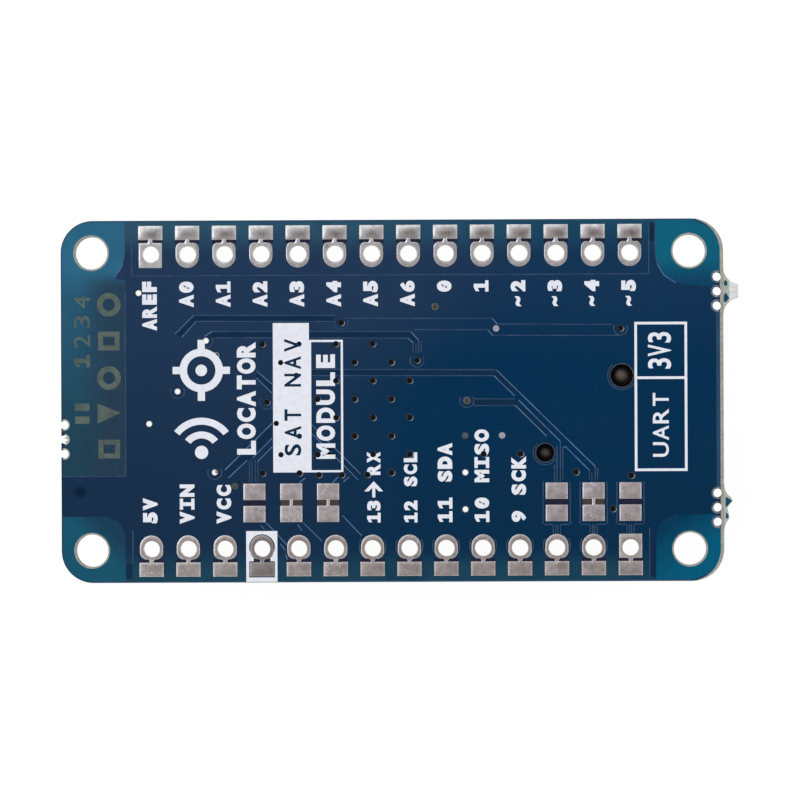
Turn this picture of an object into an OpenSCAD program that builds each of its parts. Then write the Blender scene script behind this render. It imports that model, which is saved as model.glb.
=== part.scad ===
// Satellite positioning add-on board, lying with its solder side up.
// The origin is the middle of the header pattern, on the solder face. +X runs along the header rows.

/* [Board] */
// Thickness of the laminate
board_t = 1.6; // [1:0.1:2.4]
// Radius of the board's corners
corner_r = 2.2; // [1:0.1:3]
// Distance from the first header column to the left edge
left_margin = 6.19; // [5.9:0.01:9]
// Distance from the last header column to the right edge
right_margin = 6.44; // [5.9:0.01:9]
// Distance from each header row to the long edge beside it
side_margin = 2.32; // [2.1:0.01:4]

/* [Mounting holes] */
// Diameter of the four mounting holes
mount_hole_d = 2.25; // [1.6:0.05:2.6]
// Distance of the mounting holes beyond the end header columns
mount_beyond = 4.09; // [3.4:0.01:4.4]
// Distance of the mounting holes outside the header rows
mount_outside = 0.1; // [-0.5:0.05:0.4]

/* [Break-off tabs] */
// Diameter of the break-off perforations
perforation_d = 0.6; // [0.4:0.05:0.8]
// Distance between neighbouring perforations
perforation_pitch = 1; // [0.9:0.05:1.3]
// Distance of the right-hand perforations inside the right edge
right_perforation_inset = 0.43; // [0.2:0.01:0.8]
// Distance of the left-hand perforations inside the left edge
left_perforation_inset = 0.19; // [0:0.01:0.3]
// Height of the upper right tab above the middle of the board
upper_tab_y = 7.47; // [6:0.01:8]
// Depth of the lower right tab below the middle of the board
lower_tab_y = 7.43; // [6:0.01:8]
// Depth of the left tab below the middle of the board
left_tab_y = 2.58; // [-4:0.01:6]
// Width of a right-hand tab at its narrowest
tab_neck_w = 0.9; // [0.6:0.05:1.4]
// Radius of the cutter that routed the outline beside a tab
router_r = 1.2; // [0.8:0.05:1.5]
// Length of the blunt stub left on the upper right tab
stub_l = 1.03; // [0.3:0.01:1.1]
// Length of the long splinter left on the lower right tab
splinter_l = 0.59; // [0.4:0.01:0.9]
// Length of the short splinter left on the lower right tab
short_splinter_l = 0.36; // [0.25:0.01:0.5]
// Length left in the hollow between the two splinters
splinter_hollow = 0.22; // [0.1:0.01:0.25]
// Length left at both sides of the lower right tab
splinter_foot = 0.1; // [0.02:0.01:0.2]
// Distance of the long splinter above the middle of its tab
splinter_rise = 0.45; // [0.2:0.01:0.6]
// Distance of the short splinter below the middle of its tab
splinter_drop = 0.65; // [0.3:0.01:0.8]

/* [Header holes] */
// Number of header holes in each row
header_columns = 14; // [13:1:18]
// Distance between neighbouring header holes
header_pitch = 2.54; // [2.3:0.01:3]
// Distance between the two header rows
row_spacing = 20.32; // [19.5:0.01:25.4]
// Diameter of a header hole inside its plating
header_hole_d = 1.1; // [1:0.05:1.15]
// Wall of the plating in a header hole
header_plating = 0.1; // [0.06:0.01:0.12]
// Width of a header land
land_w = 1.58; // [1.5:0.01:1.9]
// Reach of a header land from its hole towards the middle of the board
land_reach = 0.94; // [0.85:0.01:1.2]
// Reach of a header land from its hole to its flat side
land_flat = 0.7; // [0.69:0.01:0.85]
// Radius of the corners at a header land's flat side
land_corner_r = 0.3; // [0.1:0.01:0.5]
// Gap between a header land and its edge land
edge_land_gap = 0.25; // [0.1:0.01:0.3]
// Length of an edge land towards the board's edge
edge_land_l = 0.93; // [0.6:0.01:1.05]
// Width of the neck that joins a header land to its edge land
neck_w = 0.4; // [0.2:0.01:0.8]
// Thickness of the tinned lands
land_t = 0.06; // [0.03:0.01:0.09]

/* [Solder jumpers] */
// Width of a jumper land
jumper_w = 1.52; // [1:0.01:1.9]
// Length of a jumper land
jumper_l = 1.13; // [0.8:0.01:1.25]
// Gap between the two lands of a jumper
jumper_gap = 0.4; // [0.2:0.01:0.5]
// Width of the bridge across a closed jumper
bridge_w = 0.28; // [0.15:0.01:0.6]
// Distance from the lower header row up to the middle of the jumpers
jumper_rise = 3.16; // [3:0.01:3.4]
// Shift of the left-hand jumpers from their header columns
jumper_shift = 0.44; // [0:0.01:0.5]

/* [Vias] */
// Diameter of a via inside its plating
via_hole_d = 0.35; // [0.2:0.01:0.4]
// Wall of the plating in a via
via_plating = 0.07; // [0.04:0.01:0.08]
// Diameter of the ring around a via on the solder side
via_ring_d = 0.62; // [0.57:0.01:0.64]
// Thickness of the ring around a via
via_ring_t = 0.03; // [0.02:0.01:0.06]

/* [Antenna module] */
// Side of the module's carrier
module_w = 15.5; // [13:0.1:16]
// Distance from the cell holder to the module's lands
module_gap = 0.05; // [0.05:0.05:1]
// Distance of the module below the middle of the board
module_drop = 0.5; // [0:0.05:0.8]
// Height of the module's solder joints under the carrier
solder_gap = 0.1; // [0.1:0.01:0.2]
// Thickness of the module's carrier
carrier_t = 1.2; // [0.8:0.05:2]
// Number of solder joints on each side of the module
joints_per_side = 5; // [3:1:6]
// Distance between neighbouring solder joints of the module
joint_pitch = 2; // [1.6:0.05:2.6]
// Radius of the notches in the carrier's edge
notch_r = 0.45; // [0.3:0.01:0.55]
// Height to which solder climbs in the notches
solder_climb = 0.8; // [0.3:0.05:1]
// Radius of a solder joint at its top
solder_top_r = 0.31; // [0.1:0.01:0.4]
// Distance of the shield inside the carrier's edge
shield_inset = 0.45; // [0.3:0.05:1]
// Height of the shield under the antenna
shield_h = 0.9; // [0.5:0.05:1.5]
// Radius of the shield's upright edges
shield_r = 0.5; // [0.2:0.05:1]
// Distance of the ceramic antenna block inside the carrier's edge
ceramic_inset = 0.25; // [0:0.05:0.8]
// Thickness of the ceramic antenna block
ceramic_t = 4; // [2.5:0.1:5]
// Distance of the silvered electrode inside the antenna block's edge
electrode_inset = 1.5; // [1:0.1:2.5]
// Length trimmed off two of the electrode's corners
electrode_trim = 1.4; // [0.4:0.1:2]
// Thickness of the silvered electrode
electrode_t = 0.1; // [0.05:0.01:0.15]
// Diameter of the antenna's feed pin
feed_pin_d = 0.9; // [0.6:0.05:1.1]
// Clearance around the feed pin in the ceramic
feed_clearance = 0.05; // [0.02:0.01:0.1]
// Diameter of the feed pin's flush soldered head
feed_head_d = 1.7; // [1.4:0.05:2.2]
// Distance of the feed pin from the middle of the antenna
feed_offset = 1.7; // [0.5:0.1:2.5]

/* [Cell holder] */
// Diameter of the coin cell that the holder takes
cell_d = 12.5; // [11.6:0.1:12.6]
// Thickness of the coin cell that the holder takes
cell_t = 1.6; // [1.2:0.1:2.5]
// Clearance around the coin cell
cell_clearance = 0.1; // [0.05:0.01:0.14]
// Width of the holder across its flats
holder_w = 13.2; // [13.1:0.1:14]
// Diameter of the holder across its corners
holder_d = 14.2; // [14:0.1:15]
// Distance of the holder below the middle of the board
holder_drop = 0.92; // [0:0.01:1.3]
// Thickness of the holder's floor
holder_floor = 0.7; // [0.5:0.05:1.2]
// Height of the lips that keep the cell in
lip_h = 0.6; // [0.4:0.05:1]
// Reach of the lips over the cell
lip_reach = 0.35; // [0.2:0.01:0.6]
// Width of the contact windows in the holder's wall
contact_window_w = 6.4; // [5:0.1:7]
// Width of the grip windows in the holder's wall
grip_window_w = 5; // [3:0.1:6]
// Distance of the large locating peg from the holder's middle, towards the socket
large_peg_x = 4.75; // [3.5:0.01:5]
// Distance of the large locating peg above the holder's middle
large_peg_y = 2.6; // [0.5:0.01:3]
// Distance of the small locating peg from the holder's middle, away from the socket
small_peg_x = 0.55; // [0:0.01:1]
// Distance of the small locating peg below the holder's middle
small_peg_y = 2.7; // [2.4:0.01:4]
// Diameter of the hole for the large locating peg
large_peg_hole_d = 1.57; // [1.2:0.01:1.8]
// Diameter of the hole for the small locating peg
small_peg_hole_d = 1.25; // [1:0.01:1.5]
// Clearance around a locating peg
peg_clearance = 0.05; // [0.03:0.01:0.1]
// Depth of a peg's tip below the solder face
peg_recess = 0.2; // [0.1:0.05:0.5]
// Height of a peg's domed tip
peg_dome_h = 0.3; // [0.15:0.05:0.45]
// Thickness of the cell contacts
contact_t = 0.2; // [0.12:0.01:0.22]
// Width of the cell contacts
contact_w = 4; // [2:0.1:4.8]
// Clearance around the cell contacts
contact_clearance = 0.05; // [0.03:0.01:0.1]
// Length of a cell contact's foot on the board
contact_foot = 0.95; // [0.6:0.05:1]
// Length of the lower contact's tongue on each side of the holder's middle
tongue_l = 1.8; // [1:0.1:3]
// Height by which the tongue springs up at its end
tongue_lift = 0.6; // [0.3:0.05:1]
// Reach of the upper contact's finger over the cell
finger_reach = 1.7; // [1:0.1:2.5]
// Depth by which the finger springs down at its end
finger_drop = 0.55; // [0.3:0.05:0.8]

/* [Cable socket] */
// Number of contacts in the cable socket
socket_ways = 5; // [3:1:7]
// Distance between neighbouring contacts of the socket
socket_pitch = 1; // [0.8:0.05:1.25]
// Width of the socket beyond its contacts, both ends together
socket_ends = 3; // [2.6:0.1:4]
// Depth of the socket from its mouth to its rear
socket_depth = 4.2; // [3.6:0.05:4.5]
// Height of the socket
socket_h = 2.95; // [2.6:0.05:3.5]
// Wall of the socket
socket_wall = 0.5; // [0.35:0.05:0.6]
// Thickness of the socket's rear wall
socket_rear = 1; // [0.6:0.05:1.3]
// Width of the two key slots in the socket's roof
key_slot_w = 0.7; // [0.4:0.05:1]
// Side of a square socket contact
pin_w = 0.3; // [0.2:0.01:0.4]
// Height of the socket contacts above the board
pin_z = 1.3; // [1.1:0.05:1.5]
// Distance of the contacts' tips behind the socket's mouth
pin_recess = 0.8; // [0.4:0.05:1.2]
// Length of the contacts' tails behind the socket
tail_l = 0.7; // [0.6:0.05:0.9]
// Clearance between the socket's tails and the cell holder
holder_gap = 0.25; // [0.2:0.05:0.6]
// Thickness of the socket's hold-down brackets
bracket_t = 0.25; // [0.15:0.01:0.35]
// Width of the socket's hold-down brackets
bracket_w = 1.8; // [1:0.1:2.2]
// Height of the socket's hold-down brackets
bracket_h = 1.6; // [1:0.1:2.2]
// Length of a hold-down bracket's foot
bracket_foot = 0.8; // [0.5:0.05:1]

/* [Small parts] */
// Length of a chip part
chip_l = 1.6; // [1:0.05:1.8]
// Width of a chip part
chip_w = 0.8; // [0.5:0.05:0.9]
// Length of the metal end of a chip part
chip_end = 0.3; // [0.2:0.01:0.4]
// Height of a chip capacitor
capacitor_h = 0.8; // [0.5:0.05:0.9]
// Height of a chip resistor
resistor_h = 0.45; // [0.3:0.05:0.6]
// Height of the indicator's base
indicator_base_h = 0.3; // [0.2:0.05:0.4]
// Height of the indicator's lens above its base
indicator_lens_h = 0.35; // [0.2:0.05:0.6]
// Least gap between a chip part and a larger part beside it
part_gap = 0.2; // [0.15:0.05:0.4]
// Reach of a land beyond the foot or end that it carries
land_margin = 0.15; // [0.05:0.01:0.2]
// Length of the regulator's body
regulator_l = 2.9; // [2.5:0.05:3.1]
// Width of the regulator's body
regulator_w = 1.6; // [1.3:0.05:1.8]
// Height of the regulator's body
regulator_h = 1; // [0.7:0.05:1.3]
// Gap between the regulator's body and the board
regulator_stand = 0.1; // [0.02:0.01:0.15]
// Draft of the regulator's long sides
regulator_draft = 0.12; // [0.05:0.01:0.2]
// Distance between neighbouring leads of the regulator
lead_pitch = 0.95; // [0.65:0.01:1]
// Width of a regulator lead
lead_w = 0.4; // [0.25:0.01:0.5]
// Thickness of a regulator lead
lead_t = 0.15; // [0.1:0.01:0.2]
// Reach of a regulator lead before it bends down
lead_shoulder = 0.25; // [0.2:0.01:0.35]
// Length of a regulator lead's toe
lead_toe = 0.35; // [0.2:0.01:0.45]

/* [Hidden] */

$fn = 48;
// Cuts run this far past the faces that they open
past = 1;

mask_blue = "#10365d";
tin_grey = "#b4adab";
steel_grey = "#c9c9c6";
plastic_black = "#1b1b1d";

function column_x(i) = (i - (header_columns - 1) / 2) * header_pitch;
last_column = header_columns - 1;
row_y = row_spacing / 2;
left_x = column_x(0) - left_margin;
right_x = column_x(last_column) + right_margin;
edge_y = row_y + side_margin;
mount_x = column_x(last_column) + mount_beyond;
mount_y = row_y + mount_outside;
header_drill_d = header_hole_d + 2 * header_plating;
edge_land_start = land_flat + edge_land_gap;

// Jumpers stand above the lower row, on the columns counted from the left
jumper_y = -row_y + jumper_rise;
left_jumpers = [3, 4, 5];
open_jumper_columns = [3, 11, 13];
bridged_jumper_columns = [4, 5, 12];
function jumper_x(i) = column_x(i) - (len(search(i, left_jumpers)) > 0 ? jumper_shift : 0);

// Vias and parts stand on the layout's placement grid, a fortieth of the header pitch
placement_step = header_pitch / 40;

// Ground vias stand on a staggered grid of half the header pitch, as a row number and its column numbers
via_drill_d = via_hole_d + 2 * via_plating;
stitch_step = header_pitch / 2;
stitch_origin = placement_step * [1, 2];
stitch_rows = [
    [3, [-7, -5, -3, -1]],
    [2, [-6, -2, 0]],
    [1, [-3, -1, 1]],
    [0, [-4, -2, 0]],
    [-1, [-3, -1, 1]],
    [-2, [-5, -2, 0, 4, 6]],
    [-3, [-6, -4, -1, 1, 5, 7]],
    [-4, [-7, -5, 0, 4, 10]],
    [-6, [4, 12]]
];
stitch_vias = [for (row = stitch_rows) for (column = row[1])
    stitch_origin + stitch_step * [column, row[0]]];
// Signal vias stand beside their traces, in placement steps
signal_vias = placement_step * [
    [-53, 85], [-102, 28], [-134, -1], [-124, -24], [-78, -80], [-53, -80], [-25, -80], [29, 44], [83, 0],
    [261, -82], [250, 78], [49, 102], [-169, -92], [-273, 118], [-200, 66], [-189, 50], [-231, 11],
    [-262, -24], [-191, -77], [115, 78]
];
via_places = concat(stitch_vias, signal_vias);

// Places along the board, from the cable socket at the right edge to the small parts on the left
socket_w = (socket_ways - 1) * socket_pitch + socket_ends;
socket_rear_x = right_x - socket_depth;
pocket_d = cell_d + 2 * cell_clearance;
holder_x = socket_rear_x - tail_l - holder_gap - holder_w / 2;
holder_h = holder_floor + cell_t + lip_h;
large_peg = [large_peg_x, large_peg_y];
small_peg = [-small_peg_x, -small_peg_y];
joint_reach = notch_r + land_margin;
module_x = holder_x - holder_w / 2 - module_gap - joint_reach - module_w / 2;
shield_w = module_w - 2 * shield_inset;
ceramic_w = module_w - 2 * ceramic_inset;
electrode_w = ceramic_w - 2 * electrode_inset;
shield_z = solder_gap + carrier_t;
ceramic_z = shield_z + shield_h;
electrode_z = ceramic_z + ceramic_t;
left_parts_x = module_x - module_w / 2;

// Chip parts: place and turn
holder_side = holder_w / 2 - holder_drop;
capacitor_places = [
    [left_parts_x - 98 * placement_step, 85 * placement_step, 90],
    [left_parts_x - 46 * placement_step, 39 * placement_step, 0],
    [holder_x + 79 * placement_step, holder_side + part_gap + chip_w, 0],
    [holder_x + 65 * placement_step, -holder_w / 2 - holder_drop - part_gap - chip_w / 2, 0]
];
resistor_places = [
    [socket_rear_x + socket_depth / 2, socket_w / 2 + bracket_foot + part_gap + chip_l, 0],
    [socket_rear_x + socket_depth / 2, -socket_w / 2 - bracket_foot - part_gap - chip_l, 0],
    [left_parts_x - 38 * placement_step, -50 * placement_step, 0]
];
indicator_place = [left_parts_x - 72 * placement_step, -76 * placement_step, 90];
regulator_place = [left_parts_x - 46 * placement_step, 101 * placement_step];
regulator_middle = regulator_stand + regulator_h / 2;
// Leads of the regulator, as a side and a place along it
regulator_lead_places = [[1, -1], [1, 0], [1, 1], [-1, -1], [-1, 1]];

// Cell contacts: seat in the holder's floor and lines of the bent strip
groove_d = contact_t + contact_clearance;
groove_z = holder_floor - groove_d;
riser_y = holder_w / 2 + contact_clearance;
foot_y = riser_y + contact_t + contact_foot;
finger_top = holder_h - contact_clearance;

module on_component_side() {
    translate([0, 0, -board_t]) mirror([0, 0, 1]) children();
}

module at_module() {
    on_component_side() translate([module_x, -module_drop, 0]) children();
}

module at_holder() {
    on_component_side() translate([holder_x, -holder_drop, 0]) children();
}

module at_socket() {
    on_component_side() translate([socket_rear_x, 0, 0]) children();
}

module at_places(places) {
    on_component_side()
        for (place = places) translate([place[0], place[1], 0]) rotate(place[2]) children();
}

module rounded_rectangle(low, high, r) {
    translate([low[0] + r, low[1]]) square([high[0] - low[0] - 2 * r, high[1] - low[1]]);
    translate([low[0], low[1] + r]) square([high[0] - low[0], high[1] - low[1] - 2 * r]);
    for (x = [low[0] + r, high[0] - r], y = [low[1] + r, high[1] - r]) translate([x, y]) circle(r);
}

module centred_block(size, z) {
    translate([-size[0] / 2, -size[1] / 2, z]) cube(size);
}

// A tab of the break-off panel, from inside the right edge to its narrowest place
module tab_flare() {
    root = tab_neck_w / 2 + router_r;
    difference() {
        translate([-past, -root]) square([past + router_r, 2 * root]);
        for (side = [-1, 1]) translate([router_r, side * root]) circle(router_r);
    }
}

// What the break left of the lower right tab: two splinters with a hollow between them
module splintered_tab() {
    root = tab_neck_w / 2 + router_r;
    intersection() {
        tab_flare();
        polygon([[-past, root], [splinter_foot, root], [splinter_l, splinter_rise], [splinter_hollow, 0],
            [short_splinter_l, -splinter_drop], [splinter_foot, -root], [-past, -root]]);
    }
}

// What the break left of the upper right tab: a blunt stub
module blunt_tab() {
    intersection() {
        tab_flare();
        translate([-past, -past - router_r]) square([past + stub_l, 2 * (past + router_r)]);
    }
}

module perforations(x, y) {
    for (i = [-1, 0, 1]) translate([x, y + i * perforation_pitch]) circle(d = perforation_d);
}

module board_outline() {
    difference() {
        union() {
            rounded_rectangle([left_x, -edge_y], [right_x, edge_y], corner_r);
            translate([right_x, upper_tab_y]) blunt_tab();
            translate([right_x, -lower_tab_y]) splintered_tab();
        }
        perforations(right_x - right_perforation_inset, upper_tab_y);
        perforations(right_x - right_perforation_inset, -lower_tab_y);
        perforations(left_x + left_perforation_inset, -left_tab_y);
    }
}

module drill(x, y, d) {
    translate([x, y, -board_t - past]) cylinder(h = board_t + 2 * past, d = d);
}

module circuit_board() {
    color(mask_blue) difference() {
        translate([0, 0, -board_t]) linear_extrude(board_t) board_outline();
        for (x = [-mount_x, mount_x], y = [-mount_y, mount_y]) drill(x, y, mount_hole_d);
        for (i = [0 : last_column], y = [-row_y, row_y]) drill(column_x(i), y, header_drill_d);
        for (via = via_places) drill(via[0], via[1], via_drill_d);
        drill(holder_x + large_peg[0], large_peg[1] - holder_drop, large_peg_hole_d);
        drill(holder_x + small_peg[0], small_peg[1] - holder_drop, small_peg_hole_d);
    }
}

// Outline of a header land with its neck and edge land; +Y points to the board's edge
module header_land(squared) {
    if (squared) {
        translate([-land_w / 2, -land_reach]) square([land_w, land_reach + land_flat]);
    } else {
        round_y = land_w / 2 - land_reach;
        translate([0, round_y]) circle(d = land_w);
        translate([-land_w / 2, round_y]) square([land_w, land_flat - land_corner_r - round_y]);
        translate([land_corner_r - land_w / 2, 0]) square([land_w - 2 * land_corner_r, land_flat]);
        for (side = [-1, 1])
            translate([side * (land_w / 2 - land_corner_r), land_flat - land_corner_r]) circle(land_corner_r);
    }
    translate([-neck_w / 2, 0]) square([neck_w, edge_land_start]);
    translate([-land_w / 2, edge_land_start]) square([land_w, edge_land_l]);
}

// A plated hole: its barrel through the board, with a land on each face
module plated_hole(squared) {
    difference() {
        union() {
            linear_extrude(land_t) header_land(squared);
            translate([0, 0, -board_t]) cylinder(h = board_t, d = header_drill_d);
            translate([0, 0, -board_t - land_t]) linear_extrude(land_t) {
                if (squared) square(land_w, center = true);
                else circle(d = land_w);
            }
        }
        translate([0, 0, -board_t - past]) cylinder(h = board_t + 2 * past, d = header_hole_d);
    }
}

module upper_header_pads() {
    color(tin_grey) for (i = [0 : last_column]) translate([column_x(i), row_y, 0]) plated_hole(i == 0);
}

module lower_header_pads() {
    color(tin_grey) for (i = [0 : last_column])
        translate([column_x(i), -row_y, 0]) rotate(180) plated_hole(i == last_column);
}

module jumper_lands() {
    for (side = [-1, 1])
        translate([-jumper_w / 2, side > 0 ? jumper_gap / 2 : -jumper_gap / 2 - jumper_l])
            square([jumper_w, jumper_l]);
}

module open_jumpers() {
    color(tin_grey) for (i = open_jumper_columns)
        translate([jumper_x(i), jumper_y, 0]) linear_extrude(land_t) jumper_lands();
}

module bridged_jumpers() {
    color(tin_grey) for (i = bridged_jumper_columns)
        translate([jumper_x(i), jumper_y, 0]) linear_extrude(land_t) {
            jumper_lands();
            square([bridge_w, jumper_gap + jumper_l], center = true);
        }
}

module via_barrels() {
    color("#a89a80") for (via = via_places) translate([via[0], via[1], 0]) difference() {
        union() {
            translate([0, 0, -board_t]) cylinder(h = board_t, d = via_drill_d);
            cylinder(h = via_ring_t, d = via_ring_d);
        }
        translate([0, 0, -board_t - past]) cylinder(h = board_t + 2 * past, d = via_hole_d);
    }
}

// Places of the module's joints, as a turn to their side and a place along it
module at_module_joints() {
    for (turn = [0 : 90 : 270], i = [0 : joints_per_side - 1])
        rotate(turn) translate([module_w / 2, (i - (joints_per_side - 1) / 2) * joint_pitch, 0]) children();
}

module chip_lands() {
    l = chip_end + 2 * land_margin;
    for (side = [-1, 1])
        translate([side * (chip_l - chip_end) / 2, 0, 0])
            centred_block([l, chip_w + 2 * land_margin, land_t], 0);
}

module component_lands() {
    color(tin_grey) {
        at_module() at_module_joints() centred_block([2 * joint_reach, 2 * notch_r, land_t], 0);
        at_holder() for (side = [-1, 1])
            translate([0, side * (foot_y + riser_y) / 2, 0])
                centred_block([contact_w + 2 * land_margin, foot_y - riser_y, land_t], 0);
        at_socket() {
            for (i = [0 : socket_ways - 1])
                translate([-tail_l / 2, (i - (socket_ways - 1) / 2) * socket_pitch, 0])
                    centred_block([tail_l, pin_w + land_margin, land_t], 0);
            for (side = [-1, 1])
                translate([socket_depth / 2, side * (socket_w / 2 + (bracket_t + bracket_foot) / 2), 0])
                    centred_block([bracket_w + 2 * land_margin, bracket_t + bracket_foot, land_t], 0);
        }
        at_places(concat(capacitor_places, resistor_places, [indicator_place])) chip_lands();
        on_component_side() translate(regulator_place) for (lead = regulator_lead_places)
            translate([lead[0] * (regulator_w / 2 + lead_shoulder + lead_toe / 2), lead[1] * lead_pitch, 0])
                centred_block([lead_toe + 2 * land_margin, lead_w + land_margin, land_t], 0);
    }
}

module module_carrier() {
    color("#2c5a3c") at_module() difference() {
        centred_block([module_w, module_w, carrier_t], solder_gap);
        at_module_joints() translate([0, 0, solder_gap - past])
            cylinder(h = carrier_t + 2 * past, r = notch_r);
    }
}

// Solder under each notch of the carrier, climbing in the notch and standing out of it
module module_solder_joints() {
    color(tin_grey) at_module() at_module_joints() translate([0, 0, land_t])
        cylinder(h = solder_gap - land_t + solder_climb, r1 = notch_r, r2 = solder_top_r);
}

module module_shield() {
    half = shield_w / 2;
    color(steel_grey) at_module() translate([0, 0, shield_z])
        linear_extrude(shield_h) rounded_rectangle([-half, -half], [half, half], shield_r);
}

module antenna_ceramic() {
    color("#d8c7a6") at_module() difference() {
        centred_block([ceramic_w, ceramic_w, ceramic_t], ceramic_z);
        translate([feed_offset, 0, ceramic_z - past])
            cylinder(h = ceramic_t + 2 * past, d = feed_pin_d + 2 * feed_clearance);
    }
}

// Silvered square with two opposite corners trimmed off
module antenna_electrode() {
    half = electrode_w / 2;
    trimmed = half - electrode_trim;
    color("#d6d7d6") at_module() translate([0, 0, electrode_z]) linear_extrude(electrode_t) difference() {
        polygon([[-half, -half], [trimmed, -half], [half, -trimmed], [half, half], [-trimmed, half],
            [-half, trimmed]]);
        translate([feed_offset, 0]) circle(d = feed_head_d);
    }
}

module antenna_feed_pin() {
    color(tin_grey) at_module() translate([feed_offset, 0, 0]) {
        translate([0, 0, ceramic_z]) cylinder(h = ceramic_t, d = feed_pin_d);
        translate([0, 0, electrode_z]) cylinder(h = electrode_t, d = feed_head_d);
    }
}

// A round locating peg with a domed tip, reaching from the holder into the board
module locating_peg(hole_d) {
    r = hole_d / 2 - peg_clearance;
    l = board_t - peg_recess;
    dome_r = (r * r + peg_dome_h * peg_dome_h) / (2 * peg_dome_h);
    mirror([0, 0, 1]) intersection() {
        translate([0, 0, -holder_floor / 2]) cylinder(h = holder_floor / 2 + l, r = r);
        union() {
            translate([0, 0, -holder_floor]) cylinder(h = holder_floor + l - peg_dome_h, r = 2 * r);
            translate([0, 0, l - dome_r]) sphere(dome_r);
        }
    }
}

module cell_holder_body() {
    pocket_r = pocket_d / 2;
    lip_z = holder_floor + cell_t;
    color(plastic_black) at_holder() {
        difference() {
            linear_extrude(holder_h) intersection() {
                circle(d = holder_d);
                square(holder_w, center = true);
            }
            translate([0, 0, holder_floor]) cylinder(h = cell_t, r = pocket_r);
            translate([0, 0, lip_z]) cylinder(h = lip_h / 2, r1 = pocket_r, r2 = pocket_r - lip_reach);
            translate([0, 0, lip_z + lip_h / 2])
                cylinder(h = lip_h / 2, r1 = pocket_r - lip_reach, r2 = pocket_r);
            translate([-contact_window_w / 2, -holder_d, holder_floor])
                cube([contact_window_w, 2 * holder_d, holder_h]);
            translate([-holder_d, -grip_window_w / 2, holder_floor])
                cube([2 * holder_d, grip_window_w, holder_h]);
            translate([-contact_w / 2 - contact_clearance, -holder_d, groove_z])
                cube([contact_w + 2 * contact_clearance, holder_d + tongue_l, holder_h]);
        }
        translate([large_peg[0], large_peg[1], 0]) locating_peg(large_peg_hole_d);
        translate([small_peg[0], small_peg[1], 0]) locating_peg(small_peg_hole_d);
    }
}

// A bent strip with its profile along Y and Z and its width along X
module strip(w, profile) {
    rotate([90, 0, 90]) linear_extrude(w, center = true) polygon(profile);
}

// A bent strip with its profile along X and Z and its width along Y
module strip_along_y(w, profile) {
    rotate([90, 0, 0]) linear_extrude(w, center = true) polygon(profile);
}

// Finger over the cell's rim, on a riser behind the holder with a soldered foot
module cell_positive_contact() {
    back_y = riser_y + contact_t;
    color(steel_grey) at_holder() strip(contact_w, [
        [foot_y, land_t], [foot_y, land_t + contact_t], [back_y, land_t + contact_t], [back_y, finger_top],
        [riser_y - finger_reach, finger_top - finger_drop],
        [riser_y - finger_reach, finger_top - finger_drop - contact_t],
        [riser_y, finger_top - contact_t - contact_clearance], [riser_y, land_t]]);
}

// Tongue under the cell, in a groove of the holder's floor, with a soldered foot in front
module cell_negative_contact() {
    back_y = riser_y + contact_t;
    color(steel_grey) at_holder() strip(contact_w, [
        [-foot_y, land_t], [-foot_y, land_t + contact_t], [-back_y, land_t + contact_t],
        [-back_y, groove_z + contact_t], [-tongue_l, groove_z + contact_t],
        [tongue_l - contact_clearance, groove_z + contact_t + tongue_lift],
        [tongue_l - contact_clearance, groove_z + tongue_lift], [-tongue_l, groove_z],
        [-riser_y, groove_z], [-riser_y, land_t]]);
}

module at_socket_ways() {
    for (i = [0 : socket_ways - 1]) translate([0, (i - (socket_ways - 1) / 2) * socket_pitch, 0]) children();
}

// Box open towards the board's edge, with two key slots in its roof
module socket_housing() {
    mouth_l = socket_depth - socket_rear;
    color("#e4e0d4") at_socket() difference() {
        translate([0, -socket_w / 2, 0]) cube([socket_depth, socket_w, socket_h]);
        translate([socket_rear, -socket_w / 2 + socket_wall, socket_wall])
            cube([mouth_l + past, socket_w - 2 * socket_wall, socket_h - 2 * socket_wall]);
        for (side = [-1, 1])
            translate([socket_rear, side * (socket_w / 2 - 2 * socket_wall) - key_slot_w / 2, socket_h / 2])
                cube([mouth_l + past, key_slot_w, socket_h]);
        at_socket_ways() translate([-past, -pin_w / 2, pin_z]) cube([socket_rear + 2 * past, pin_w, pin_w]);
    }
}

// Square contacts through the rear wall, bent down to soldered tails
module socket_pins() {
    tip_x = socket_depth - pin_recess;
    color("#d0b878") at_socket() at_socket_ways() strip_along_y(pin_w, [
        [tip_x, pin_z], [tip_x, pin_z + pin_w], [-pin_w, pin_z + pin_w], [-pin_w, land_t + pin_w],
        [-tail_l, land_t + pin_w], [-tail_l, land_t], [0, land_t], [0, pin_z]]);
}

module socket_brackets() {
    color(steel_grey) at_socket() for (side = [0, 1]) mirror([0, side, 0])
        translate([socket_depth / 2, socket_w / 2, 0]) strip(bracket_w, [
            [0, land_t], [bracket_t + bracket_foot, land_t], [bracket_t + bracket_foot, land_t + bracket_t],
            [bracket_t, land_t + bracket_t], [bracket_t, bracket_h], [0, bracket_h]]);
}

// Moulded body, drawn in towards its top and bottom from the line where the leads leave
module regulator_body() {
    half = regulator_w / 2;
    low = regulator_stand;
    high = regulator_stand + regulator_h;
    lead_low = regulator_middle - lead_t / 2;
    lead_high = regulator_middle + lead_t / 2;
    color(plastic_black) on_component_side() translate(regulator_place) strip_along_y(regulator_l, [
        [-half + regulator_draft, low], [half - regulator_draft, low], [half, lead_low], [half, lead_high],
        [half - regulator_draft, high], [-half + regulator_draft, high], [-half, lead_high],
        [-half, lead_low]]);
}

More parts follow.
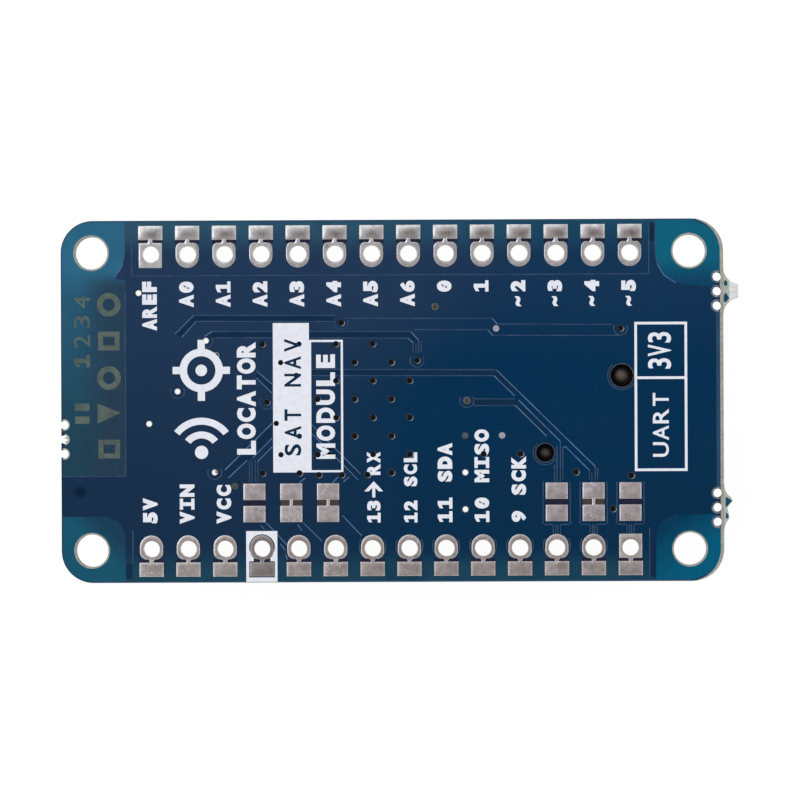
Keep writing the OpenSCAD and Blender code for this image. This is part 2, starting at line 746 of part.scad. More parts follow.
module regulator_leads() {
    lead_low = regulator_middle - lead_t / 2;
    lead_high = regulator_middle + lead_t / 2;
    bend_x = lead_shoulder - lead_t;
    toe_x = lead_shoulder + lead_toe;
    color(tin_grey) on_component_side() translate(regulator_place) for (lead = regulator_lead_places)
        mirror([lead[0] > 0 ? 0 : 1, 0, 0]) translate([regulator_w / 2, lead[1] * lead_pitch, 0])
            strip_along_y(lead_w, [
                [0, lead_low], [bend_x, lead_low], [bend_x, land_t], [toe_x, land_t],
                [toe_x, land_t + lead_t], [lead_shoulder, land_t + lead_t],
                [lead_shoulder, lead_high], [0, lead_high]]);
}

module chip_body(h) {
    centred_block([chip_l - 2 * chip_end, chip_w, h], land_t);
}

module chip_ends(h) {
    for (side = [-1, 1])
        translate([side * (chip_l - chip_end) / 2, 0, 0]) centred_block([chip_end, chip_w, h], land_t);
}

module capacitor_bodies() {
    color("#a8855c") at_places(capacitor_places) chip_body(capacitor_h);
}

module capacitor_ends() {
    color(tin_grey) at_places(capacitor_places) chip_ends(capacitor_h);
}

module resistor_bodies() {
    color(plastic_black) at_places(resistor_places) chip_body(resistor_h);
}

module resistor_ends() {
    color(tin_grey) at_places(resistor_places) chip_ends(resistor_h);
}

module indicator_base() {
    color("#e9e6da") at_places([indicator_place]) chip_body(indicator_base_h);
}

// Clear lens: half a cylinder lying on the base
module indicator_lens() {
    color("#cfe8d0") at_places([indicator_place]) translate([0, 0, land_t + indicator_base_h])
        intersection() {
            centred_block([chip_l - 2 * chip_end, chip_w, indicator_lens_h], 0);
            rotate([0, 90, 0]) cylinder(h = chip_l, d = chip_w, center = true);
        }
}

module indicator_ends() {
    color(tin_grey) at_places([indicator_place]) chip_ends(indicator_base_h);
}

circuit_board();
upper_header_pads();
lower_header_pads();
open_jumpers();
bridged_jumpers();
via_barrels();
component_lands();
module_carrier();
module_solder_joints();
module_shield();
antenna_ceramic();
antenna_electrode();
antenna_feed_pin();
cell_holder_body();
cell_positive_contact();
cell_negative_contact();
socket_housing();
socket_pins();
socket_brackets();
regulator_body();
regulator_leads();
capacitor_bodies();
capacitor_ends();
resistor_bodies();
resistor_ends();
indicator_base();
indicator_lens();
indicator_ends();
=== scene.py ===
"""Looks of a satellite positioning board that lies with its solder side up.
Lengths are in millimetres until a mesh is made, and z is 0 on the solder face."""
import math

import bmesh
import bpy
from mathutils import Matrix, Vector
from mathutils.geometry import tessellate_polygon


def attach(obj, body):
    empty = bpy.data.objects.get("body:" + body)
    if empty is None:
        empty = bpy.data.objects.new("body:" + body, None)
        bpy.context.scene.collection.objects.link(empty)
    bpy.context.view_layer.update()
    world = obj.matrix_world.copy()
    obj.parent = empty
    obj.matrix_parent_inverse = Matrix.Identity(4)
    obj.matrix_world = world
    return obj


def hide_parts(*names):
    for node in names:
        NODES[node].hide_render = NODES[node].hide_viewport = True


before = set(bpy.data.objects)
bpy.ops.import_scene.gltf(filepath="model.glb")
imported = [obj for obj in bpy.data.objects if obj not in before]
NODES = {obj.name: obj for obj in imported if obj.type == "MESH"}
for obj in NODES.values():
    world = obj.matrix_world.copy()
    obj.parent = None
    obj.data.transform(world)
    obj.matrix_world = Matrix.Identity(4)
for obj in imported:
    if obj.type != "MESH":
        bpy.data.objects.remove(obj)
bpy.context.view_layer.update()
SCENE = bpy.context.scene

MM = 0.001
PITCH = 2.54
COLUMNS = 14
ROW_Y = 10.16
LEFT_X = -22.70
RIGHT_X = 22.95
EDGE_Y = 12.48
CORNER_R = 2.2
BOARD_T = 1.6
MOUNT_X = 20.6
MOUNT_Y = 10.26
MOUNT_R = 1.125
PERFORATION_R = 0.3
RIGHT_PERFORATION_X = RIGHT_X - 0.43
LEFT_PERFORATION_X = LEFT_X + 0.19
UPPER_TAB_Y = 7.47
LOWER_TAB_Y = -7.43
LEFT_TAB_Y = -2.58

HOLE_R = 0.565
DRILL_R = 0.65
LAND_HALF = 0.79
LAND_REACH = 0.94
LAND_FLAT = 0.72
LAND_CORNER = {"arched": 0.3, "round": 0.5}
EDGE_LAND_HALF = 0.835
EDGE_LAND_Y = 0.93
EDGE_LAND_L = 0.975
UPPER_SHIFT = 0.055
NECK_W = 0.4
BOXED_COLUMN = 3

JUMPER_W = 1.52
JUMPER_L = 1.13
JUMPER_GAP = 0.40
BRIDGE_W = 0.22
JUMPER_Y = -7.0
JUMPER_SHIFT = 0.51
OPEN_JUMPERS = (3, 11, 13)
BRIDGED_JUMPERS = (4, 5, 12)
LEFT_JUMPERS = (3, 4, 5)
FRAMED_JUMPERS = (11, 12, 13)

# Heights of the layers on the solder face
BARE_TOP = 0.003
ZONE_TOP = 0.004
HALO_TOP = 0.005
RING_TOP = 0.006
NOTCH_TOP = 0.007
RIDGE_TOP = 0.010
LIT_TOP = 0.012
INK_TOP = 0.018
TICK_TOP = 0.019
SHADE_TOP = 0.020
PLUG_TOP = 0.022
FILL_TOP = 0.026

# Vias stand on a placement grid, as in the part
STEP = PITCH / 40


def on_grid(*steps):
    """Places on the grid of the vias."""
    return [(x * STEP, y * STEP) for x, y in steps]


STITCH_STEPS = 20
STITCH_X = 1
STITCH_Y = 2
STITCH_ROWS = {
    3: (-7, -5, -3, -1), 2: (-6, -2, 0), 1: (-3, -1, 1), 0: (-4, -2, 0), -1: (-3, -1, 1),
    -2: (-5, -2, 0, 4, 6), -3: (-6, -4, -1, 1, 5, 7), -4: (-7, -5, 0, 4, 10), -6: (4, 12),
}
STITCH_VIAS = on_grid(*((STITCH_X + STITCH_STEPS * c, STITCH_Y + STITCH_STEPS * r)
                        for r, row in STITCH_ROWS.items() for c in row))
CLEAR_STEPS = ((-273, 118), (-200, 66), (-189, 50), (-231, 11), (-262, -24), (-191, -77))
SIGNAL_VIAS = on_grid(
    (-53, 85), (-102, 28), (-134, -1), (-124, -24), (-78, -80), (-53, -80), (-25, -80), (29, 44), (83, 0),
    (261, -82), (250, 78), (49, 102), (-169, -92), *CLEAR_STEPS, (115, 78))
CLEAR_VIAS = on_grid(*CLEAR_STEPS, (81, -78), (81, -118))
FILLED_VIAS = on_grid((115, 78), (121, -38))
DIM_VIAS = on_grid((81, -38))
DULL_VIAS = on_grid((49, 102), (83, 0))
GREEN_VIAS = on_grid((-169, -92))
ISLAND_VIAS = on_grid((29, 44), (83, 0), (-134, -1), (250, 78), (-191, -77), (-231, 11), (-53, 85),
                      (-200, 66))


def column_x(i):
    """The middle of a column of header holes."""
    return (i - (COLUMNS - 1) / 2) * PITCH


def jumper_x(i):
    """The middle of the jumper in a column; those on the left stand a little off it."""
    return column_x(i) - (JUMPER_SHIFT if i in LEFT_JUMPERS else 0)


def near(place, places, reach=0.1):
    """Whether a place is one of some places."""
    return any(math.dist(place, p) < reach for p in places)


# Materials; places in their patterns are in metres, as Object coordinates are

NOISE_ROUGHNESS = 0.55
SEED_SHIFT = (1, 0.7, 0.3)
MOTTLE_LOW = 0.3
MOTTLE_HIGH = 0.7
FACING = 0.7
BUMP_DEPTH = 0.02


class Finish:
    """A node material with a Principled shader, and helpers that add patterns on Object coordinates."""

    def __init__(self, name, colour, roughness, metallic=0.0, specular=0.5):
        self.material = bpy.data.materials.new(name)
        self.material.use_nodes = True
        self.tree = self.material.node_tree
        self.shader = self.tree.nodes["Principled BSDF"]
        self.shader.inputs["Base Color"].default_value = (*colour, 1)
        self.shader.inputs["Roughness"].default_value = roughness
        self.shader.inputs["Metallic"].default_value = metallic
        self.shader.inputs["Specular IOR Level"].default_value = specular
        self.place = self.node("ShaderNodeTexCoord").outputs["Object"]

    def node(self, kind, **values):
        made = self.tree.nodes.new(kind)
        for key, value in values.items():
            setattr(made, key, value)
        return made

    def link(self, source, target):
        self.tree.links.new(source, target)

    def noise(self, size, detail=3.0, seed=0.0, stretch=(1, 1, 1)):
        """A pattern of blots about `size` millimetres across, from 0 to 1."""
        shift = self.node("ShaderNodeMapping")
        shift.inputs["Location"].default_value = [seed * part for part in SEED_SHIFT]
        shift.inputs["Scale"].default_value = stretch
        self.link(self.place, shift.inputs["Vector"])
        made = self.node("ShaderNodeTexNoise")
        made.inputs["Scale"].default_value = 1 / (size * MM)
        made.inputs["Detail"].default_value = detail
        made.inputs["Roughness"].default_value = NOISE_ROUGHNESS
        self.link(shift.outputs["Vector"], made.inputs["Vector"])
        return made.outputs["Fac"]

    def spread(self, value, low, high, to_low=0.0, to_high=1.0, smooth=True):
        """Maps `value` from low..high to to_low..to_high."""
        made = self.node("ShaderNodeMapRange", interpolation_type="SMOOTHSTEP" if smooth else "LINEAR")
        for key, number in (("From Min", low), ("From Max", high), ("To Min", to_low), ("To Max", to_high)):
            made.inputs[key].default_value = number
        self.link(value, made.inputs["Value"])
        return made.outputs["Result"]

    def mottle(self, size, low=0.0, high=1.0, **kind):
        """Soft blots about `size` millimetres across, from low to high."""
        return self.spread(self.noise(size, **kind), MOTTLE_LOW, MOTTLE_HIGH, low, high)

    def maths(self, operation, a, b=None):
        """The result of an operation on sockets or numbers."""
        made = self.node("ShaderNodeMath", operation=operation)
        for socket, value in zip(made.inputs, (a, b)):
            if isinstance(value, (int, float)):
                socket.default_value = value
            elif value is not None:
                self.link(value, socket)
        return made.outputs["Value"]

    def mix(self, share, first, second):
        """A mix of two colours, by the colour sockets of the Mix node."""
        made = self.node("ShaderNodeMix", data_type="RGBA")
        self.link(share, made.inputs["Factor"])
        for index, colour in ((6, first), (7, second)):
            if isinstance(colour, tuple):
                made.inputs[index].default_value = (*colour, 1)
            else:
                self.link(colour, made.inputs[index])
        return made.outputs[2]

    def axis(self, name):
        """One of the three Object coordinates."""
        split = self.node("ShaderNodeSeparateXYZ")
        self.link(self.place, split.inputs["Vector"])
        return split.outputs[name]

    def faces_up(self):
        """1 where the surface faces along Z, up or down, and 0 on walls."""
        normal = self.node("ShaderNodeTexCoord").outputs["Normal"]
        split = self.node("ShaderNodeSeparateXYZ")
        self.link(normal, split.inputs["Vector"])
        return self.maths("GREATER_THAN", self.maths("ABSOLUTE", split.outputs["Z"]), FACING)

    def spot(self, x, y, inner, outer, share):
        """`share` within `inner` millimetres of a place, fading to 0 at `outer`."""
        gap = self.node("ShaderNodeVectorMath", operation="DISTANCE")
        gap.inputs[1].default_value = (x * MM, y * MM, 0)
        self.link(self.place, gap.inputs[0])
        return self.spread(gap.outputs["Value"], inner * MM, outer * MM, share, 0)

    def colour(self, output):
        self.link(output, self.shader.inputs["Base Color"])

    def roughness(self, output):
        self.link(output, self.shader.inputs["Roughness"])

    def bump(self, height, strength):
        made = self.node("ShaderNodeBump")
        made.inputs["Strength"].default_value = strength
        made.inputs["Distance"].default_value = BUMP_DEPTH * MM
        self.link(height, made.inputs["Height"])
        self.link(made.outputs["Normal"], self.shader.inputs["Normal"])


NAVY = (0.0118, 0.0350, 0.0850)


def solder_mask():
    """Blue mask over copper on both faces, and bare laminate on the walls."""
    made = Finish("solder_mask", NAVY, 0.3, specular=0.05)
    x, y = made.axis("X"), made.axis("Y")
    left = made.mix(made.spread(y, 0.0095, -0.0080), (0.0160, 0.0405, 0.0945), (0.0082, 0.0288, 0.0715))
    right = made.mix(made.spread(y, 0.0090, 0.0020), (0.0062, 0.0355, 0.0945), (0.0004, 0.0288, 0.0835))
    right = made.mix(made.spread(y, -0.0010, -0.0090), right, (0.0012, 0.0272, 0.0735))
    slant = made.maths("SUBTRACT", x, made.maths("MAXIMUM", y, 0.0))
    across = made.spread(slant, -0.0090, 0.0030)
    pour = made.mix(across, left, right)
    clouds = made.spread(made.noise(5, seed=2), 0.35, 0.70, 0.0, 0.22)
    pour = made.mix(clouds, pour, (0.0060, 0.0280, 0.0660))
    edge = made.maths("MULTIPLY", made.spread(made.maths("ABSOLUTE", y), 0.0099, 0.0119),
                      made.spread(made.noise(2.2, seed=9), 0.34, 0.58, 0.62, 1.0))
    upper = made.mix(made.spread(x, -0.006, 0.012), (0.0255, 0.0850, 0.1400), (0.0120, 0.0680, 0.1300))
    shore = made.mix(made.spread(y, -0.002, 0.002), (0.0115, 0.0570, 0.1000), upper)
    pour = made.mix(edge, pour, shore)
    pour = made.mix(made.spot(-21.42, -6.21, 0.15, 0.55, 0.85), pour, (0.001, 0.012, 0.035))
    flecks = made.spread(made.noise(0.16, detail=1, seed=3), 0.745, 0.80, 0, 0.5)
    pour = made.mix(flecks, pour, (0.05, 0.13, 0.20))
    layers = made.mottle(0.11, seed=4, stretch=(0.10, 0.10, 1))
    wall = made.mix(layers, (0.42, 0.42, 0.37), (0.57, 0.57, 0.51))
    up = made.faces_up()
    made.colour(made.mix(up, wall, pour))
    smooth = made.mottle(0.5, 0.24, 0.36, seed=7)
    made.roughness(made.maths("ADD", smooth, made.maths("MULTIPLY", made.maths("SUBTRACT", 1, up), 0.45)))
    made.bump(made.noise(0.35, detail=2, seed=6), 0.10)
    return made.material


def copper_free_mask():
    """Mask over bare laminate: paler and greener, with painted light that is brightest towards the corners.
    """
    made = Finish("copper_free_mask", (0.019, 0.074, 0.132), 0.3, specular=0.05)
    x, y = made.axis("X"), made.axis("Y")
    # Painted light: brightest near the corners and the board's edges, where light comes through the laminate;
    # inner and shade are painted shade, glow is painted light
    left = made.mix(made.spread(y, 0.0094, 0.0066), (0.0270, 0.1400, 0.2480), (0.0215, 0.1020, 0.1730))
    left = made.mix(made.spread(y, 0.0070, -0.0040), left, (0.0140, 0.0535, 0.0890))
    inner = made.maths("MULTIPLY", made.spread(y, 0.0092, 0.0078), made.spread(x, -0.0220, -0.0192, 0, 0.88))
    left = made.mix(inner, left, (0.0210, 0.0425, 0.0760))
    low = made.spread(y, -0.0060, -0.0080)
    shade = made.spread(made.maths("ADD", x, y), -0.0306, -0.0280, 0, 0.85)
    lower_left = made.mix(shade, (0.0090, 0.0950, 0.1620), (0.0105, 0.0380, 0.0800))
    left = made.mix(low, left, lower_left)
    right = made.mix(made.spread(y, 0.0100, 0.0078), (0.0032, 0.1190, 0.2060), (0.0036, 0.0510, 0.1220))
    slant = made.maths("SUBTRACT", made.maths("MULTIPLY", x, 0.7), y)
    glow = made.spread(slant, 0.02195, 0.02555, smooth=False)
    lower_right = made.mix(glow, (0.0, 0.0380, 0.0920), (0.0, 0.1060, 0.2050))
    right = made.mix(low, right, lower_right)
    tone = made.mix(made.spread(x, -0.010, 0.010), left, right)
    clouds = made.spread(made.noise(2.2, seed=12), 0.35, 0.7, 0.0, 0.18)
    tone = made.mix(clouds, tone, (0.004, 0.050, 0.100))
    weave = made.spread(made.noise(0.3, detail=1, seed=8, stretch=(1, 0.3, 1)), 0.35, 0.7, 0, 0.07)
    made.colour(made.mix(weave, tone, (0.03, 0.13, 0.19)))
    made.bump(made.noise(0.35, detail=2, seed=6), 0.10)
    return made.material


def plain(name, colour, second, size, roughness, metallic=0.0, specular=0.5, bump=0.1):
    """A finish with two mottled colours, uneven roughness and a fine bump, all about `size` millimetres."""
    made = Finish(name, colour, roughness, metallic, specular)
    made.colour(made.mix(made.mottle(size, seed=1), colour, second))
    made.roughness(made.mottle(size * 0.6, roughness * 0.75, roughness * 1.25, seed=4))
    made.bump(made.noise(size * 0.5, detail=2, seed=6), bump)
    return made.material


def tin(name, colour, shade, frost, roughness, toned=False):
    """Tinned copper: pinkish grey, softly clouded, with stains and patches of bright specks. The attribute
    `tone` of a mesh is painted light and shade: it darkens the tin where positive and brightens it where
    negative."""
    made = Finish(name, colour, roughness, 1.0)
    base = made.mix(made.mottle(0.9, detail=3, seed=21), shade, colour)
    if toned:
        tone = made.node("ShaderNodeAttribute", attribute_name="tone").outputs["Fac"]
        sway = made.spread(made.noise(0.55, detail=3, seed=41), 0.25, 0.75, 0.55, 1.45, smooth=False)
        tone = made.maths("MULTIPLY", tone, sway)
        # Painted light: the tin is brighter towards the left of the board
        tone = made.maths("ADD", tone, made.spread(made.axis("X"), -0.020, 0.006, -0.15, 0.05))
        # Painted shade, brown, where the tone is above 0, and painted highlights, near white, where it is
        # below 0
        base = made.mix(made.spread(tone, 0.0, 1.0, smooth=False), base, (0.25, 0.195, 0.175))
        base = made.mix(made.spread(tone, 0.0, -1.0, smooth=False), base, (0.96, 0.95, 0.97))
    grains = made.spread(made.noise(0.10, detail=2, seed=25), 0.57, 0.66)
    patches = made.spread(made.noise(3.0, detail=1, seed=33), 0.52, 0.62, 0.06, frost)
    base = made.mix(made.maths("MULTIPLY", grains, patches), base, (0.97, 0.97, 0.98))
    stain_and_rim_sheen = made.spread(made.noise(0.7, detail=3, seed=31), 0.58, 0.76, 0, 0.5)
    base = made.mix(stain_and_rim_sheen, base, (0.30, 0.24, 0.22))
    off = made.maths("ABSOLUTE", made.maths("SUBTRACT", made.axis("X"), column_x(BOXED_COLUMN) * MM))
    boxed = made.spread(off, 0.0010, 0.0009, 0, 0.55)
    boxed = made.maths("MULTIPLY", boxed, made.spread(made.axis("Y"), -0.0089, -0.0092))
    made.colour(made.mix(boxed, base, (0.20, 0.17, 0.165)))
    made.roughness(made.mottle(0.4, roughness * 0.8, roughness * 1.2, seed=23))
    made.bump(made.noise(0.16, detail=2, seed=27), 0.08)
    return made.material


MASK = solder_mask()
FREE_MASK = copper_free_mask()
DULL_TIN = ((0.61, 0.545, 0.57), (0.49, 0.435, 0.455), 0.80, 0.40)
TIN = tin("dull_tin", *DULL_TIN)
# The toned tins take painted light and shade from the attribute tone of their meshes
JUMPER_TIN = tin("rim_sheen_tin", *DULL_TIN, toned=True)
UPPER_TIN = tin("bright_tin", (0.67, 0.64, 0.66), (0.57, 0.535, 0.545), 0.60, 0.32, toned=True)
LOWER_TIN = tin("lower_row_tin", (0.51, 0.455, 0.455), (0.42, 0.37, 0.36), 0.70, 0.42, toned=True)
BARE = plain("bare_laminate", (0.40, 0.40, 0.35), (0.29, 0.30, 0.26), 0.3, 0.6, specular=0.2)
TAB_BARE = plain("tab_laminate", (0.49, 0.53, 0.47), (0.36, 0.40, 0.35), 0.3, 0.6, specular=0.2)
GLASSY = plain("broken_laminate", (0.80, 0.83, 0.82), (0.62, 0.66, 0.64), 0.25, 0.5, specular=0.3, bump=0.5)
# Painted light: grey halos round the see-through perforations
HALO_LIGHT = plain("painted_halo_light", (0.270, 0.280, 0.330), (0.050, 0.065, 0.100), 0.32, 0.5, specular=0.1)
# Low ridges of mask along copper edges, paler than the mask: painted highlights, brighter on the lit ones
RIDGE_SHEEN = plain("painted_ridge_sheen", (0.052, 0.096, 0.180), (0.024, 0.058, 0.128), 0.9, 0.35, specular=0.1)
BRIGHT_RIDGE = plain("lit_mask_ridge", (0.110, 0.215, 0.400), (0.062, 0.130, 0.270), 0.9, 0.35, specular=0.1)
MARGIN = plain("edge_margin", (0.028, 0.080, 0.150), (0.022, 0.060, 0.120), 1.5, 0.35, specular=0.05)
CHANNEL = plain("mask_channel", (0.0060, 0.0275, 0.0690), (0.0045, 0.0240, 0.0630), 1.2, 0.3, specular=0.05)
GROOVE = plain("mask_groove", (0.0200, 0.0200, 0.0440), (0.0120, 0.0150, 0.0360), 0.6, 0.4, specular=0.05)
SLOT = plain("bare_slot", (0.062, 0.047, 0.040), (0.046, 0.036, 0.031), 0.25, 0.6, specular=0.2)
INK = plain("white_ink", (0.86, 0.885, 0.965), (0.79, 0.815, 0.885), 0.35, 0.55, specular=0.2)
OLD_COPPER = plain("covered_copper", (0.118, 0.152, 0.135), (0.075, 0.105, 0.098), 0.7, 0.4, specular=0.05)
LIP = plain("mask_lip", (0.0080, 0.0330, 0.0800), (0.0050, 0.0280, 0.0720), 0.3, 0.3, specular=0.05)
GLINT = plain("lit_lip", (0.40, 0.42, 0.46), (0.20, 0.23, 0.28), 0.3, 0.35, specular=0.4)
SCRAP = plain("teal_scrap", (0.004, 0.085, 0.150), (0.010, 0.062, 0.098), 0.3, 0.35, specular=0.05)
RIM = plain("scraped_rim", (0.078, 0.082, 0.098), (0.036, 0.046, 0.066), 0.35, 0.5, specular=0.2)
PLATING = plain("via_plating", (0.30, 0.26, 0.21), (0.16, 0.15, 0.13), 0.25, 0.42, metallic=0.7)
CLEAR_PLATING = plain("bright_via_plating", (0.93, 0.92, 0.90), (0.86, 0.85, 0.83), 0.4, 0.12, metallic=1.0,
                      bump=0.02)
# Painted shade: black for the insides of the dark vias
SHADE_DISC = plain("via_shade", (0.003, 0.003, 0.004), (0.005, 0.005, 0.006), 0.3, 0.7, specular=0.1)
FILL = plain("filled_via", (0.45, 0.48, 0.57), (0.33, 0.36, 0.43), 0.2, 0.4, metallic=0.6)
DIM_FILL = plain("dim_filled_via", (0.085, 0.115, 0.135), (0.060, 0.085, 0.100), 0.2, 0.4, metallic=0.3)
DULL_FILL = plain("stained_via", (0.115, 0.115, 0.118), (0.065, 0.068, 0.074), 0.2, 0.45, metallic=0.4)
GREEN_FILL = plain("covered_via", (0.085, 0.095, 0.055), (0.040, 0.058, 0.052), 0.2, 0.45, specular=0.1)

# Painted highlights on the pegs' tips: places, where each starts to fade and where it ends, and its colour
PAINTED_TIP_HIGHLIGHTS = (
    (15.90, 1.72, 0.10, 0.62, (0.118, 0.092, 0.082)),
    (10.68, -3.60, 0.05, 0.50, (0.072, 0.070, 0.062)),
)


def black_plastic():
    """Black moulded plastic, with painted brownish highlights on the tips of the pegs."""
    made = Finish("black_plastic", (0.0035, 0.0030, 0.0028), 0.35, specular=0.12)
    base = made.mix(made.mottle(0.25, seed=1), (0.0028, 0.0022, 0.0020), (0.0060, 0.0052, 0.0048))
    # Painted highlights on the domed tips of the pegs
    for x, y, inner, outer, highlight_colour in PAINTED_TIP_HIGHLIGHTS:
        base = made.mix(made.spot(x, y, inner, outer, 1.0), base, highlight_colour)
    made.colour(base)
    made.roughness(made.mottle(0.15, 0.28, 0.45, seed=4))
    made.bump(made.noise(0.12, detail=2, seed=6), 0.1)
    return made.material


BLACK = black_plastic()
STEEL = plain("spring_steel", (0.60, 0.60, 0.58), (0.54, 0.54, 0.52), 0.5, 0.28, metallic=1.0)
SHIELD = plain("tinned_shield", (0.62, 0.62, 0.60), (0.55, 0.55, 0.53), 1.2, 0.33, metallic=1.0)
SILVER = plain("fired_silver", (0.76, 0.75, 0.72), (0.70, 0.69, 0.66), 0.7, 0.42, metallic=1.0, bump=0.08)
CERAMIC = plain("antenna_ceramic", (0.58, 0.47, 0.31), (0.50, 0.40, 0.26), 0.4, 0.72, bump=0.2)
CARRIER = plain("carrier_laminate", (0.012, 0.045, 0.024), (0.008, 0.032, 0.018), 0.8, 0.4)
IVORY = plain("socket_plastic", (0.62, 0.58, 0.48), (0.56, 0.52, 0.42), 0.6, 0.5)
GILT = plain("gilt_contact", (0.62, 0.44, 0.17), (0.52, 0.36, 0.13), 0.4, 0.3, metallic=1.0)
EPOXY = plain("moulded_epoxy", (0.011, 0.011, 0.012), (0.018, 0.018, 0.019), 0.15, 0.55)
BROWN = plain("capacitor_ceramic", (0.27, 0.17, 0.09), (0.21, 0.13, 0.07), 0.3, 0.5)
GLAZE = plain("resistor_glaze", (0.008, 0.008, 0.009), (0.013, 0.013, 0.014), 0.2, 0.25)
PALE = plain("indicator_plastic", (0.66, 0.64, 0.58), (0.60, 0.58, 0.52), 0.3, 0.5)
LENS = plain("indicator_lens", (0.48, 0.64, 0.44), (0.42, 0.58, 0.38), 0.3, 0.12)

NODE_FINISHES = {
    "circuit_board": MASK, "upper_header_pads": TIN, "lower_header_pads": TIN, "open_jumpers": TIN,
    "bridged_jumpers": TIN, "via_barrels": PLATING, "component_lands": TIN, "module_carrier": CARRIER,
    "module_solder_joints": TIN, "module_shield": SHIELD, "antenna_ceramic": CERAMIC,
    "antenna_electrode": SILVER, "antenna_feed_pin": TIN, "cell_holder_body": BLACK,
    "cell_positive_contact": STEEL, "cell_negative_contact": STEEL, "socket_housing": IVORY,
    "socket_pins": GILT, "socket_brackets": TIN, "regulator_body": EPOXY, "regulator_leads": TIN,
    "capacitor_bodies": BROWN, "capacitor_ends": TIN, "resistor_bodies": GLAZE, "resistor_ends": TIN,
    "indicator_base": PALE, "indicator_lens": LENS, "indicator_ends": TIN,
}
for node_name, finish in NODE_FINISHES.items():
    node_mesh = NODES[node_name].data
    node_mesh.materials.clear()
    node_mesh.materials.append(finish)


# Meshes


def linked(name, data):
    """A new object in the scene."""
    made = bpy.data.objects.new(name, data)
    SCENE.collection.objects.link(made)
    return made


def piece(name, mesh, finish, slot, *replaced):
    """Puts a finished mesh, in metres, on the part."""
    made = linked(name, mesh)
    mesh.name = name
    mesh.materials.clear()
    mesh.materials.append(finish)
    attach(made, "root")
    if replaced:
        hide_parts(*replaced)
    return made


def mesh_of(bm, name, smooth_below=None):
    """Turns a bmesh in millimetres into a mesh in metres, with its faces outwards."""
    bmesh.ops.recalc_face_normals(bm, faces=bm.faces)
    bmesh.ops.scale(bm, vec=Vector((MM, MM, MM)), verts=bm.verts)
    made = bpy.data.meshes.new(name)
    bm.to_mesh(made)
    bm.free()
    if smooth_below is not None:
        made.shade_smooth()
        made.set_sharp_from_angle(angle=math.radians(smooth_below))
    return made


def face_pieces(*entries):
    """Pieces of thin plates on the solder face, each drawn in millimetres by a function."""
    for name, finish, draw in entries:
        bm = bmesh.new()
        draw(bm)
        piece(name, mesh_of(bm, name), finish, "solder_mask_board")


def prism(bm, outline, low, high, holes=()):
    """A flat plate with holes, from z = low to z = high."""
    loops = [list(outline)] + [list(hole) for hole in holes]
    points = [p for loop in loops for p in loop]
    lower = [bm.verts.new((p[0], p[1], low)) for p in points]
    upper = [bm.verts.new((p[0], p[1], high)) for p in points]
    for triangle in tessellate_polygon([[Vector((p[0], p[1], 0)) for p in loop] for loop in loops]):
        if len(set(triangle)) == 3:
            bm.faces.new([upper[i] for i in triangle])
            bm.faces.new([lower[i] for i in reversed(triangle)])
    start = 0
    for loop in loops:
        n = len(loop)
        for i in range(n):
            a, b = start + i, start + (i + 1) % n
            bm.faces.new((lower[a], lower[b], upper[b], upper[a]))
        start += n


def polar(centre, r, angle):
    """The point at a distance and an angle, in radians, from a centre."""
    return centre[0] + r * math.cos(angle), centre[1] + r * math.sin(angle)


def arc(centre, r, start, end, steps=12):
    """Points on an arc, in degrees."""
    return [polar(centre, r, math.radians(start + (end - start) * i / steps)) for i in range(steps + 1)]


def circle(centre, r, steps=32):
    return arc(centre, r, 0, 360, steps)[:-1]


def box(x0, y0, x1, y1):
    return [(x0, y0), (x1, y0), (x1, y1), (x0, y1)]


def pad(x, y, half_x, half_y):
    """A box round its middle."""
    return box(x - half_x, y - half_y, x + half_x, y + half_y)


def band(centre, outer, inner, start, end, steps):
    """A stretch of a ring, in degrees."""
    return arc(centre, outer, start, end, steps) + arc(centre, inner, end, start, steps)


def ring_plate(bm, centre, outer, inner, low, high, steps, inner_steps=None):
    prism(bm, circle(centre, outer, steps), low, high, [circle(centre, inner, inner_steps or steps)])


def frame_plate(bm, bounds, line, low, high):
    x0, y0, x1, y1 = bounds
    prism(bm, box(*bounds), low, high, [box(x0 + line, y0 + line, x1 - line, y1 - line)])


def loft(bm, rings, tones=()):
    """A closed skin through rings of as many points, the last joined to the first."""
    made = [[bm.verts.new(p) for p in ring] for ring in rings]
    if tones:
        layer = bm.verts.layers.float["tone"]
        for ring, tone in zip(made, tones):
            for point in ring:
                point[layer] = tone
    n = len(made[0])
    for i, ring in enumerate(made):
        after = made[(i + 1) % len(made)]
        for k in range(n):
            bm.faces.new((ring[k], ring[(k + 1) % n], after[(k + 1) % n], after[k]))


def stations(start, end, slope):
    """Places along a land, close together near its ends."""
    ends = [slope * part for part in (0, 0.18, 0.4, 0.65, 1)]
    inner = [start + slope + (end - start - 2 * slope) * i / 7 for i in range(1, 7)]
    return [start + e for e in ends] + inner + [end - e for e in reversed(ends)]


def no_tone(u, v):
    return 0.0


def pillow(bm, x0, y0, x1, y1, rim, crown, slope=0.16, dome=0.0, tone=no_tone):
    """A tinned land: a plate on the board whose top rises from its rim to its crown, and swells a little."""
    layer = bm.verts.layers.float.get("tone") or bm.verts.layers.float.new("tone")

    def rise(value, start, end):
        part = min((value - start) / slope, (end - value) / slope, 1)
        return part * part * (3 - 2 * part)

    def swell(value, start, end):
        return 1 - (2 * (value - start) / (end - start) - 1) ** 2

    rows = []
    for y in stations(y0, y1, slope):
        row = []
        for x in stations(x0, x1, slope):
            point = bm.verts.new((x, y, rim + (crown - dome - rim) * rise(x, x0, x1) * rise(y, y0, y1)
                                  + dome * swell(x, x0, x1) * swell(y, y0, y1)))
            point[layer] = tone((x - x0) / (x1 - x0), (y - y0) / (y1 - y0))
            row.append(point)
        rows.append(row)
    close_sheet(bm, rows)


